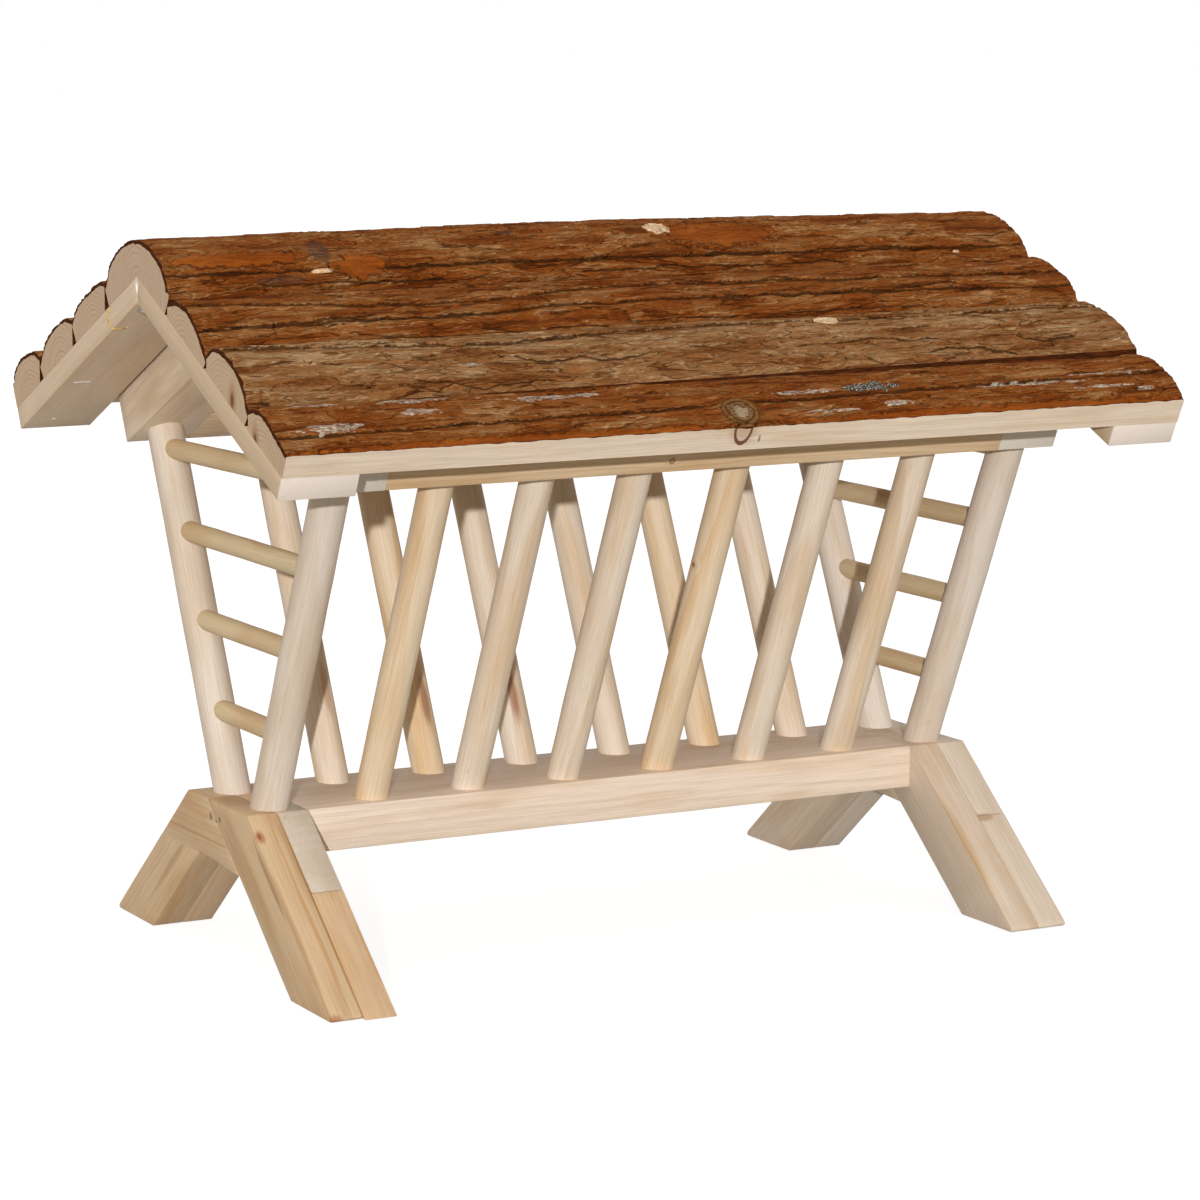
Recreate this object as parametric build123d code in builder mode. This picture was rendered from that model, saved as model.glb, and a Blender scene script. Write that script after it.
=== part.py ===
"""Hay feeder box for small animals: a V-shaped dowel rack on two trestles under a lift-off bark roof.

Millimetres. +X along the ridge, +Y to the back, +Z up, origin on the floor under the middle.
"""
import os
from math import cos, radians, sin, tan

from build123d import *

os.makedirs("parts", exist_ok=True)

# Everything that leans does so by one angle: the dowels from the vertical, the roof from the level.
lean = 25.0
ca = cos(radians(lean))
sa = sin(radians(lean))
glue_gap = 0.1  # radial gap of a dowel in its hole
overrun = 10.0  # how far a cutting shape runs on past the wood

# Trestles: two layers of board side by side, legs splayed.
trestle_out_x = 200.0
layer = 16.0
top_z = 78.0
top_half = 35.5
splay_deg = 51.155  # a leg's lean from the vertical
splay = tan(radians(splay_deg))
nail_down = 8.1  # from the top to the nails
seam_off = 2.25  # from the middle to the long legs' inner faces, at the nails' height
leg_cut = top_half + splay * nail_down + seam_off  # level cut through a leg, front to back
foot_round = 1.2
head_h = 31.0
outer_seam_up = 3.0  # from the crotch to the seam over a short leg, in the two kinds of layer
inner_seam_up = 0.0
crotch_z = top_z - head_h

# Base board between the trestles.
board_t = 21.3
board_half_x = trestle_out_x - 2 * layer

# Dowels: slats along both sides, corner posts, and rungs across the ends.
slat_r = 8.1
post_r = 9.0
rung_r = 5.1
foot_in = 13.5  # from the board's long edge to the dowels' axes
foot_y = top_half - foot_in
post_past_seam = 1.5  # from the trestle's glue line to a post's axis
post_x = trestle_out_x - layer - post_past_seam
slat_drift = [0.9, 0.6, 0.3, 0.9, 1.2, 1.1]  # from even spacing, one for each slat
slat_count = len(slat_drift)
slat_pitch = 2 * post_x / (slat_count + 1)
slat_xs = [slat_pitch * (i - (slat_count - 1) / 2) + slat_drift[i] for i in range(slat_count)]
slat_in_board = 12.0
post_in_trestle = 10.0
rung_shares = [0.225, 0.472, 0.717, 0.946]  # rungs' heights, of the way from the board to the rafters
rung_rise = {"left": [0.0, 0.0, 0.0, 3.4], "right": [0.0, 0.0, 0.0, 0.0]}  # to the front
rung_in_post = 6.0

# The roof plane is the level where roof and rack bear on each other: a ridge falling both ways.
apex_z = 329.8

# Rafters of the rack under that plane, and the rails between them.
inner_t = 33.5
inner_w = 32.0
inner_past_post = 14.0
inner_x1 = post_x + inner_past_post
inner_x0 = inner_x1 - inner_w
rail_w = 36.0
rail_t = 12.0
dowel_s = foot_y * ca + (apex_z - top_z) * sa  # where the dowels' axes would meet the roof plane
frame_end_s = dowel_s + rail_w / 2
slat_in_rail = 9.0
post_in_rafter = 16.0

# Lift-off roof.
roof_play = 2.7
outer_w = 36.8
outer_t = 11.4
outer_x0 = inner_x1 + roof_play
roof_half_x = outer_x0 + outer_w
roof_end_s = 181.3
mitre_gap = 0.5
slab_gap = 0.25  # from a slab's side to the seam
slab_h = 20.0  # the slabs' heights are shares of this
ridge_h = 18.6  # from the apex up to the ridge slab's top

# Seams between the slabs, as s at the left and the right end of the roof.
seams = {
    "front": [(37.2, 34.4), (86.4, 83.2), (136.9, 136.6), (roof_end_s, roof_end_s)],
    "back": [(39.6, 37.0), (88.2, 86.0), (138.8, 137.2), (roof_end_s, roof_end_s)],
}

# Steel and brass: nails through the trestles, staples up through the roof's rafters, a wire clip.
nail_ys = [7.5, 0.0]
nail_z = top_z - nail_down
nail_r = 1.1
nail_head_r = 1.9
nail_head_t = 1.0
nail_in_board = 14.0
nail_len = 2 * layer + nail_in_board
staple_w = 1.2
staple_t = 0.7
staple_crown = 8.6
staple_in_slab = 3.6
staple_leg = outer_t + staple_in_slab
ridge_staple_up = 6.4  # from the first seam up to the staple of the ridge slab
staple_ss = [seams["front"][0][0] - ridge_staple_up]
staple_shares = [0.52, 0.54, 0.7]  # of each slab's width, down to its staple
for i, share in enumerate(staple_shares):
    staple_ss.append(seams["front"][i][0] * (1 - share) + seams["front"][i + 1][0] * share)
staple_in = 9.5  # from the gable end to a staple's middle
mitre_staple_half = 10.0
mitre_staple_leg = 9.0
mitre_staple_in = 4.0
wire_r = 0.7
wire_sunk = 0.3  # depth of the wire's axis under the wood's face
wire_s = 38.5
wire_bulge = 7.0
wire_reach = 6.5

sides = {"front": -1, "back": 1}
ends = {"left": -1, "right": 1}

# Length of a dowel's axis from the board's top to the underside of the rafters and rails.
free_len = (apex_z - top_z) * ca - foot_y * sa - inner_t
rung_zs = [top_z + free_len * ca * share for share in rung_shares]


def at(side, s, h):
    """Point (y, z) at s down the slope from the ridge and h above the roof plane."""
    return (side * (s * ca + h * sa), apex_z - s * sa + h * ca)


def beam(outline, x_low, x_high, mode=Mode.ADD):
    """Straight bar along X with the given outline in Y and Z."""
    with BuildSketch(Plane.YZ.offset(x_low)) as section:
        with BuildLine():
            Polyline(*outline, close=True)
        make_face()
    extrude(section.sketch, amount=x_high - x_low, mode=mode)


def rod(start, direction, length, radius, mode=Mode.ADD):
    """Round rod, or the hole for one, from a point along a direction."""
    with BuildSketch(Plane(origin=start, z_dir=direction)) as section:
        Circle(radius)
    extrude(section.sketch, amount=length, mode=mode)


def leaning(side, x, low, high, radius, mode=Mode.ADD):
    """Leaning dowel or its hole, between two stations along its axis from the board's top."""
    start = (x, side * (foot_y + low * sa), top_z + low * ca)
    rod(start, (0, side * sa, ca), high - low, radius, mode)


def rung(end_name, number, radius, mode=Mode.ADD):
    """Rung or its holes, between the front and the back post of one end."""
    x = ends[end_name] * post_x
    z = rung_zs[number]
    rise = rung_rise[end_name][number]
    post_y = foot_y + (z - top_z) * sa / ca
    reach = post_y - post_r / ca + rung_in_post
    drop = rise * (post_y - reach) / (2 * post_y)
    front = Vector(x, -reach, z + rise - drop)
    back = Vector(x, reach, z + drop)
    rod(front, back - front, (back - front).length, radius, mode)


def post_holes(end_name):
    """Cuts the holes of both corner posts of one end out of the piece being made."""
    for side in sides.values():
        x = ends[end_name] * post_x
        leaning(side, x, -post_in_trestle, free_len + post_in_rafter, post_r + glue_gap, Mode.SUBTRACT)


def save(piece, name):
    """Labels a finished piece and writes its file."""
    piece.part.label = name
    export_step(piece.part, "parts/" + name + ".step")


# Slats, front and back.
for side_name, side in sides.items():
    for number, x in enumerate(slat_xs, 1):
        with BuildPart() as slat:
            leaning(side, x, -slat_in_board, free_len + slat_in_rail, slat_r)
        save(slat, f"{side_name}_slat_{number}")

# Rungs, and the corner posts with blind holes for their ends.
for end_name, end in ends.items():
    for number in range(len(rung_zs)):
        with BuildPart() as cross_rung:
            rung(end_name, number, rung_r)
        save(cross_rung, f"{end_name}_rung_{number + 1}")
    for side_name, side in sides.items():
        with BuildPart() as post:
            leaning(side, end * post_x, -post_in_trestle, free_len + post_in_rafter, post_r)
            for number in range(len(rung_zs)):
                rung(end_name, number, rung_r + glue_gap, Mode.SUBTRACT)
        save(post, f"{side_name}_{end_name}_post")

# Two nails hold each trestle to the base board, driven in from the outside.
nails = {}
for end_name, end in ends.items():
    with BuildPart() as pair:
        for y in nail_ys:
            rod((end * trestle_out_x, y, nail_z), (-end, 0, 0), nail_head_t, nail_head_r)
            rod((end * trestle_out_x, y, nail_z), (-end, 0, 0), nail_len, nail_r)
    save(pair, f"{end_name}_nails")
    nails[end_name] = pair

# Base board: one flat board with a row of blind holes down each side.
with BuildPart() as base_board:
    with BuildSketch(Plane.XY.offset(top_z - board_t)):
        Rectangle(2 * board_half_x, 2 * top_half)
    extrude(amount=board_t)
    for side in sides.values():
        for x in slat_xs:
            leaning(side, x, -slat_in_board, overrun, slat_r + glue_gap, Mode.SUBTRACT)
    for pair in nails.values():
        add(pair.part, mode=Mode.SUBTRACT)
save(base_board, "base_board")


def out_y(z):
    """Outside face of a leg at a height."""
    return top_half + splay * (top_z - z)


def in_y(z):
    """Inside face of a leg at a height."""
    return out_y(z) - leg_cut


# Trestles: in each layer one leg runs up to the top, the other stops under a head block.
layers = {
    "left_outer": ("left", -trestle_out_x, -1, crotch_z + outer_seam_up),
    "left_inner": ("left", -trestle_out_x + layer, 1, crotch_z + inner_seam_up),
    "right_inner": ("right", trestle_out_x - 2 * layer, -1, crotch_z + outer_seam_up),
    "right_outer": ("right", trestle_out_x - layer, 1, crotch_z + inner_seam_up),
}
for layer_name, (end_name, x_low, k, seam_z) in layers.items():
    # k is the side of the long leg, front or back.
    long_leg = [(k * top_half, top_z), (k * out_y(0), 0), (k * in_y(0), 0), (k * in_y(top_z), top_z)]
    short_leg = [(-k * in_y(seam_z), seam_z), (-k * in_y(0), 0)]
    short_leg += [(-k * out_y(0), 0), (-k * out_y(seam_z), seam_z)]
    head = [(k * in_y(top_z), top_z), (k * in_y(crotch_z), crotch_z)]
    head += [(-k * in_y(crotch_z), crotch_z)]
    if seam_z > crotch_z:
        head += [(-k * in_y(seam_z), seam_z)]
    head += [(-k * out_y(seam_z), seam_z), (-k * top_half, top_z)]
    for leg_name, outline in {"long_leg": long_leg, "short_leg": short_leg}.items():
        with BuildPart() as leg:
            beam(outline, x_low, x_low + layer)
            low_edges = leg.edges().filter_by(Axis.X).group_by(Axis.Z)[0]
            toe = low_edges.sort_by(lambda edge: abs(edge.center().Y))[-1]
            fillet(toe, foot_round)
            post_holes(end_name)
            add(nails[end_name].part, mode=Mode.SUBTRACT)
        save(leg, f"{layer_name}_{leg_name}")
    with BuildPart() as block:
        beam(head, x_low, x_low + layer)
        post_holes(end_name)
        add(nails[end_name].part, mode=Mode.SUBTRACT)
    save(block, f"{layer_name}_head")

# Rails along the tops of the slats, and the rack's own rafters at both ends.
for side_name, side in sides.items():
    rail_s = frame_end_s - rail_w
    rail_outline = [at(side, rail_s, -inner_t), at(side, frame_end_s, -inner_t)]
    rail_outline += [at(side, frame_end_s, rail_t - inner_t), at(side, rail_s, rail_t - inner_t)]
    with BuildPart() as rail:
        beam(rail_outline, -inner_x0, inner_x0)
        for x in slat_xs:
            leaning(side, x, free_len - overrun, free_len + slat_in_rail, slat_r + glue_gap, Mode.SUBTRACT)
    save(rail, f"{side_name}_rail")
    rafter_outline = [(0, apex_z - inner_t / ca), at(side, frame_end_s, -inner_t)]
    rafter_outline += [at(side, frame_end_s, 0), (0, apex_z)]
    for end_name, end in ends.items():
        with BuildPart() as rack_rafter:
            beam(rafter_outline, *sorted((end * inner_x0, end * inner_x1)))
            post_holes(end_name)
        save(rack_rafter, f"{side_name}_{end_name}_rack_rafter")

# Staples: a flat crown across the rafter's underside, two legs up through it into the slab above,
# and one wider staple over the mitre of each gable.
staples = {}
for end_name, end in ends.items():
    with BuildPart() as row:
        for side in sides.values():
            for s in staple_ss:
                y, z = at(side, s, -outer_t)
                under = Plane(
                    origin=(end * (roof_half_x - staple_in), y, z),
                    x_dir=(1, 0, 0),
                    z_dir=(0, side * sa, ca),
                )
                with BuildSketch(under):
                    Rectangle(staple_crown, staple_w)
                extrude(amount=staple_t)
                with BuildSketch(under):
                    with GridLocations(staple_crown - staple_t, 1, 2, 1):
                        Rectangle(staple_t, staple_w)
                extrude(amount=staple_leg)
        mitre_x = end * (roof_half_x - mitre_staple_in)
        mitre_z = apex_z - outer_t / ca - mitre_staple_half * sa / ca
        with BuildSketch(Plane.XY.offset(mitre_z)):
            with Locations((mitre_x, 0)):
                Rectangle(staple_w, 2 * mitre_staple_half)
        extrude(amount=staple_t)
        with BuildSketch(Plane.XY.offset(mitre_z)):
            with Locations((mitre_x, 0)):
                with GridLocations(1, 2 * mitre_staple_half - staple_t, 1, 2):
                    Rectangle(staple_w, staple_t)
        extrude(amount=mitre_staple_leg)
    save(row, f"{end_name}_staples")
    staples[end_name] = row

# Brass wire, pressed into the gable face of the back left rafter and bent under it.
wire_x = -roof_half_x + wire_sunk
wire_points = [
    Vector(wire_x, *at(1, wire_s, -wire_r - wire_sunk)),
    Vector(wire_x, *at(1, wire_s + wire_bulge, -outer_t / 3)),
    Vector(wire_x, *at(1, wire_s + 2 * wire_r, -outer_t + wire_sunk)),
    Vector(wire_x + wire_reach, *at(1, wire_s - wire_r, -outer_t + wire_sunk)),
]
with BuildPart() as brass_wire:
    for start, stop in zip(wire_points, wire_points[1:]):
        along = (stop - start).normalized()
        rod(start - along * wire_r / 2, along, (stop - start).length + wire_r, wire_r)
save(brass_wire, "brass_wire")

# Rafters of the roof, outside the rack's own so that the roof straddles it.
for side_name, side in sides.items():
    fall = mitre_gap * sa / ca
    rafter_outline = [(side * mitre_gap, apex_z - outer_t / ca - fall), at(side, roof_end_s, -outer_t)]
    rafter_outline += [at(side, roof_end_s, 0), (side * mitre_gap, apex_z - fall)]
    for end_name, end in ends.items():
        with BuildPart() as roof_rafter:
            beam(rafter_outline, *sorted((end * outer_x0, end * roof_half_x)))
            add(staples[end_name].part, mode=Mode.SUBTRACT)
            if side_name == "back" and end_name == "left":
                add(brass_wire.part, mode=Mode.SUBTRACT)
        save(roof_rafter, f"{side_name}_{end_name}_roof_rafter")

# Bark slabs, three down each slope: sawn flat below and at both sides, rounded above. Each rounded
# top is given at the left and the right end, as shares of the slab's width and of slab_h. The furrows
# of its bark are given at even stations from the left to the right, as shares of the way over the top.
furrow_w = 3.4
furrow_deep = 1.4
furrows = {
    "front_bark_slab_1": [[0.36, 0.54, 0.38, 0.47, 0.53], [0.72, 0.72, 0.66, 0.72, 0.79]],
    "front_bark_slab_2": [[0.28, 0.44, 0.29, 0.31, 0.26], [0.59, 0.65, 0.65, 0.54, 0.66]],
    "front_bark_slab_3": [[0.25, 0.29, 0.24, 0.32, 0.34], [0.74, 0.71, 0.66, 0.62, 0.57]],
    "back_bark_slab_1": [[0.31, 0.27, 0.35, 0.3, 0.38], [0.62, 0.7, 0.64, 0.72, 0.66]],
    "back_bark_slab_2": [[0.36, 0.41, 0.33, 0.28, 0.34], [0.7, 0.66, 0.73, 0.62, 0.68]],
    "back_bark_slab_3": [[0.27, 0.34, 0.31, 0.38, 0.33], [0.61, 0.68, 0.72, 0.66, 0.74]],
}
slab_tops = {
    "front_bark_slab_1": [
        [(0, 0.325), (0.159, 0.58), (0.341, 0.71), (0.524, 0.735), (0.728, 0.63), (0.89, 0.46), (1, 0.325)],
        [(0, 0.55), (0.115, 0.715), (0.291, 0.83), (0.525, 0.88), (0.73, 0.9), (0.904, 0.76), (1, 0.59)],
    ],
    "front_bark_slab_2": [
        [(0, 0.4), (0.091, 0.67), (0.21, 0.82), (0.448, 0.915), (0.685, 0.875), (0.883, 0.69), (1, 0.425)],
        [(0, 0.61), (0.109, 0.76), (0.242, 0.88), (0.489, 0.98), (0.757, 0.96), (0.914, 0.85), (1, 0.77)],
    ],
    "front_bark_slab_3": [
        [(0, 0.43), (0.092, 0.57), (0.227, 0.69), (0.385, 0.745), (0.588, 0.71), (0.791, 0.645), (1, 0.58)],
        [(0, 0.58), (0.121, 0.75), (0.266, 0.86), (0.479, 0.92), (0.658, 0.9), (0.837, 0.81), (1, 0.65)],
    ],
    "back_bark_slab_1": [
        [(0, 0.6), (0.132, 0.745), (0.311, 0.79), (0.494, 0.81), (0.648, 0.82), (0.852, 0.745), (1, 0.59)],
        [(0, 0.53), (0.143, 0.7), (0.306, 0.79), (0.51, 0.83), (0.714, 0.795), (0.878, 0.7), (1, 0.54)],
    ],
    "back_bark_slab_2": [
        [(0, 0.55), (0.115, 0.73), (0.253, 0.83), (0.47, 0.87), (0.688, 0.825), (0.866, 0.69), (1, 0.48)],
        [(0, 0.55), (0.117, 0.75), (0.273, 0.88), (0.488, 0.93), (0.723, 0.86), (0.879, 0.73), (1, 0.53)],
    ],
    "back_bark_slab_3": [
        [(0, 0.575), (0.146, 0.82), (0.311, 0.93), (0.499, 0.99), (0.687, 0.995), (0.864, 0.88), (1, 0.65)],
        [(0, 0.55), (0.132, 0.76), (0.29, 0.86), (0.494, 0.92), (0.676, 0.9), (0.857, 0.79), (1, 0.62)],
    ],
}


def furrowed(top, places):
    """Smooth line through the points of a top, with a V-shaped furrow at each place along it."""
    line = Spline(*top, mode=Mode.PRIVATE)
    half = furrow_w / 2 / line.length
    starts = [0] + [place + half for place in places]
    stops = [place - half for place in places] + [1]
    for start, stop in zip(starts, stops):
        Spline(*[line @ (start + (stop - start) * i / 4) for i in range(5)])
    for place in places:
        along = line % place
        bottom = line @ place + Vector(along.Y, -along.X) * furrow_deep * (1 if along.X > 0 else -1)
        Polyline(line @ (place - half), bottom, line @ (place + half))


for slab_name, tops in slab_tops.items():
    side_name, number = slab_name.split("_")[0], int(slab_name[-1])
    side = sides[side_name]
    stations = len(furrows[slab_name][0])
    with BuildPart() as slab:
        for station in range(stations):
            right = station / (stations - 1)
            left = 1 - right
            upper, lower = seams[side_name][number - 1], seams[side_name][number]
            s0 = upper[0] * left + upper[1] * right + slab_gap
            s1 = lower[0] * left + lower[1] * right - (slab_gap if number < 3 else 0)
            top = []
            for (across_left, up_left), (across_right, up_right) in zip(*tops):
                across = across_left * left + across_right * right
                top.append(at(side, s0 + (s1 - s0) * across, slab_h * (up_left * left + up_right * right)))
            with BuildSketch(Plane.YZ.offset(roof_half_x * (right - left))):
                with BuildLine():
                    furrowed(top, [furrow[station] for furrow in furrows[slab_name]])
                    Polyline(top[-1], at(side, s1, 0), at(side, s0, 0), top[0])
                make_face()
        loft()
        for row in staples.values():
            add(row.part, mode=Mode.SUBTRACT)
    save(slab, slab_name)

# Ridge slab: a fat half log with a V sawn out below, to sit over the tops of both slopes. Its
# sections are the height of each side, then points over the top, as shares of the half width and
# of ridge_h over the apex. Its furrows are given at the same three sections, from front to back.
ridge_furrows = [[0.12, 0.11, 0.09], [0.36, 0.4, 0.34], [0.62, 0.6, 0.64], [0.84, 0.86, 0.82]]
ridge_tops = [
    (0.403, 0.565, [(-1.077, -0.134), (-0.919, 0.274), (-0.673, 0.591), (-0.371, 0.806), (-0.036, 0.892)]
     + [(0.318, 0.817), (0.602, 0.624), (0.819, 0.382), (1.009, 0.054)]),
    (0.511, 0.581, [(-1.06, 0.032), (-0.857, 0.398), (-0.567, 0.699), (-0.24, 0.919), (0.069, 1)]
     + [(0.395, 0.909), (0.671, 0.677), (0.893, 0.366), (1.054, 0.054)]),
    (0.581, 0.591, [(-1.01, 0.07), (-0.77, 0.409), (-0.449, 0.667), (-0.096, 0.839), (0.179, 0.882)]
     + [(0.477, 0.801), (0.746, 0.586), (0.969, 0.274), (1.088, 0.022)]),
]
with BuildPart() as ridge_slab:
    for place, (up_front, up_back, rises) in enumerate(ridge_tops):
        # place 0, 1, 2 is the left end, the middle and the right end
        first_seams = [seams[name][0] for name in sides]
        s_front, s_back = [(left * (2 - place) + right * place) / 2 for left, right in first_seams]
        over = []
        for across, up in rises:
            over.append(((s_front if across < 0 else s_back) * ca * across, apex_z + ridge_h * up))
        s_front, s_back = s_front - slab_gap, s_back - slab_gap
        front_edge, back_edge = at(-1, s_front, ridge_h * up_front), at(1, s_back, ridge_h * up_back)
        with BuildSketch(Plane.YZ.offset((place - 1) * roof_half_x)):
            with BuildLine():
                furrowed([front_edge, *over, back_edge], [furrow[place] for furrow in ridge_furrows])
                Polyline(back_edge, at(1, s_back, 0), (0, apex_z), at(-1, s_front, 0), front_edge)
            make_face()
    loft()
    for row in staples.values():
        add(row.part, mode=Mode.SUBTRACT)
save(ridge_slab, "ridge_slab")
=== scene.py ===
"""Hay feeder box: a V-shaped dowel rack on two trestles under a lift-off roof of bark slabs."""

from math import cos, radians, sin, tan

import bmesh
import bpy
from mathutils import Matrix, Vector, geometry, noise


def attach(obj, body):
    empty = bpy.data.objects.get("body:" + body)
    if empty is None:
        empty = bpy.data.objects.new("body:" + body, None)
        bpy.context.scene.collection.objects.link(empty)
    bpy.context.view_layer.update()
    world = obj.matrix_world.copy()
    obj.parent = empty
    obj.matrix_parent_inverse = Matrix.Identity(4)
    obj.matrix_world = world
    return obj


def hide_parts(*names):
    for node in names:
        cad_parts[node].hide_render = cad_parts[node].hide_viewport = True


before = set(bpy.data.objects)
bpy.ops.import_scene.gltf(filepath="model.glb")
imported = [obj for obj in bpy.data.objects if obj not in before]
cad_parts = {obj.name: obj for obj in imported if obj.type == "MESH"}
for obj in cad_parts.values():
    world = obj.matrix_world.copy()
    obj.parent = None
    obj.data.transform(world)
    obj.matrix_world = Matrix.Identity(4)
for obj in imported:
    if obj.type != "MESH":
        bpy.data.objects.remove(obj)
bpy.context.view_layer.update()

# Trestles. Each end stands on two layers of planed pine laid side by side and glued face to face. In each
# layer one leg runs right up to the top; the other stops under a head block, whose grain lies level.
MM = 0.001
to_mm = (1000, 1000, 1000)
trestle_out_x = 200.0
layer = 16.0
board_half_x = trestle_out_x - 2 * layer
top_z = 78.0
top_half = 35.5
splay = tan(radians(51.155))
nail_down = 8.1
seam_off = 2.25
leg_cut = top_half + splay * nail_down + seam_off
crotch_z = 47.0
outer_seam_up = 3.0
toe_round = 5.0


class Value:
    """A shader socket that is worked with like a number."""

    def __init__(self, nodes, socket):
        self.nodes, self.socket = nodes, socket

    def sum(self, operation, first, second=None):
        return self.nodes.node("ShaderNodeMath", {"operation": operation}, {0: first, 1: second})

    def __add__(self, other):
        return self.sum("ADD", self, other)

    def __mul__(self, other):
        return self.sum("MULTIPLY", self, other)

    __radd__, __rmul__ = __add__, __mul__

    def __sub__(self, other):
        return self.sum("SUBTRACT", self, other)

    def __rsub__(self, other):
        return self.sum("SUBTRACT", other, self)

    def __truediv__(self, other):
        return self.sum("DIVIDE", self, other)

    def __abs__(self):
        return self.sum("ABSOLUTE", self)

    def part(self):
        """What is left over a whole number."""
        return self.sum("FRACT", self)

    def most(self, other):
        return self.sum("MAXIMUM", self, other)

    def ease(self, low, high, start=0.0, stop=1.0):
        """Runs smoothly from start at low to stop at high."""
        inputs = {"Value": self, "From Min": low, "From Max": high, "To Min": start, "To Max": stop}
        return self.nodes.node("ShaderNodeMapRange", {"interpolation_type": "SMOOTHSTEP"}, inputs)


def tint(colour):
    """A display colour of three values, 0 to 255, made linear; anything else stays as it is."""
    if not isinstance(colour, tuple) or len(colour) != 3:
        return colour
    shares = [value / 255 for value in colour]
    return [s / 12.92 if s <= 0.04045 else ((s + 0.055) / 1.055) ** 2.4 for s in shares] + [1.0]


class Nodes:
    """The shader nodes of a material or of the world, while they are put together."""

    def __init__(self, owner):
        owner.use_nodes = True
        self.tree = owner.node_tree

    def join(self, shader, links):
        for key, value in links.items():
            self.tree.links.new(value.socket, shader.inputs[key])

    def node(self, kind, settings=None, inputs=None, out=0):
        made = self.tree.nodes.new(kind)
        for key, setting in (settings or {}).items():
            if key == "stops":
                ramp = made.color_ramp
                while len(ramp.elements) < len(setting):
                    ramp.elements.new(1.0)
                for element, (where, colour) in zip(ramp.elements, setting):
                    element.position, element.color = where, tint(colour)
            else:
                setattr(made, key, setting)
        for key, value in (inputs or {}).items():
            if isinstance(value, Value):
                self.tree.links.new(value.socket, made.inputs[key])
            elif value is not None:
                made.inputs[key].default_value = value
        return Value(self, made.outputs[out])

    def mix(self, first, second, share):
        """The second colour over the first."""
        inputs = {0: share, 6: tint(first), 7: tint(second)}
        return self.node("ShaderNodeMix", {"data_type": "RGBA"}, inputs, out=2)

    def vector(self, operation, first, second, out=0):
        return self.node("ShaderNodeVectorMath", {"operation": operation}, {0: first, 1: second}, out=out)


class Finish(Nodes):
    """A material whose pattern is laid on the object's own place, in metres."""

    def __init__(self, name, gloss=None):
        self.material = bpy.data.materials.new(name)
        super().__init__(self.material)
        self.shader = self.tree.nodes["Principled BSDF"]
        if gloss is not None:
            self.shader.inputs["Specular IOR Level"].default_value = gloss
        self.place = self.node("ShaderNodeTexCoord", out="Object")

    def shade(self, colour, level):
        """A colour made darker or lighter by a number."""
        return self.node("ShaderNodeVectorMath", {"operation": "SCALE"}, {0: colour, "Scale": level})

    def scaled(self, vector, factors):
        return self.vector("MULTIPLY", vector, factors)

    def moved(self, vector, offset):
        return self.vector("ADD", vector, offset)

    def distance(self, vector, centre=(0, 0, 0)):
        return self.vector("DISTANCE", vector, centre, out="Value")

    def cloud(self, vector, detail=2.0, rough=0.5, out=0):
        """Soft noise of one unit's size, about 0.5 on average."""
        inputs = {"Vector": vector, "Scale": 1.0, "Detail": detail, "Roughness": rough}
        return self.node("ShaderNodeTexNoise", {}, inputs, out=out)

    def streaks(self, vector, factors, detail=2.0, rough=0.5, out=0):
        """The same noise, drawn out or narrowed by these factors in x, y and z."""
        return self.cloud(self.scaled(vector, factors), detail, rough, out)

    def close(self, colour, roughness, height, depth):
        """Joins colour, roughness and relief to the surface."""
        bump = self.node("ShaderNodeBump", {}, {"Height": height, "Distance": depth * MM, "Strength": 1.0})
        self.join(self.shader, {"Base Color": colour, "Roughness": roughness, "Normal": bump})
        return self.material


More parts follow.
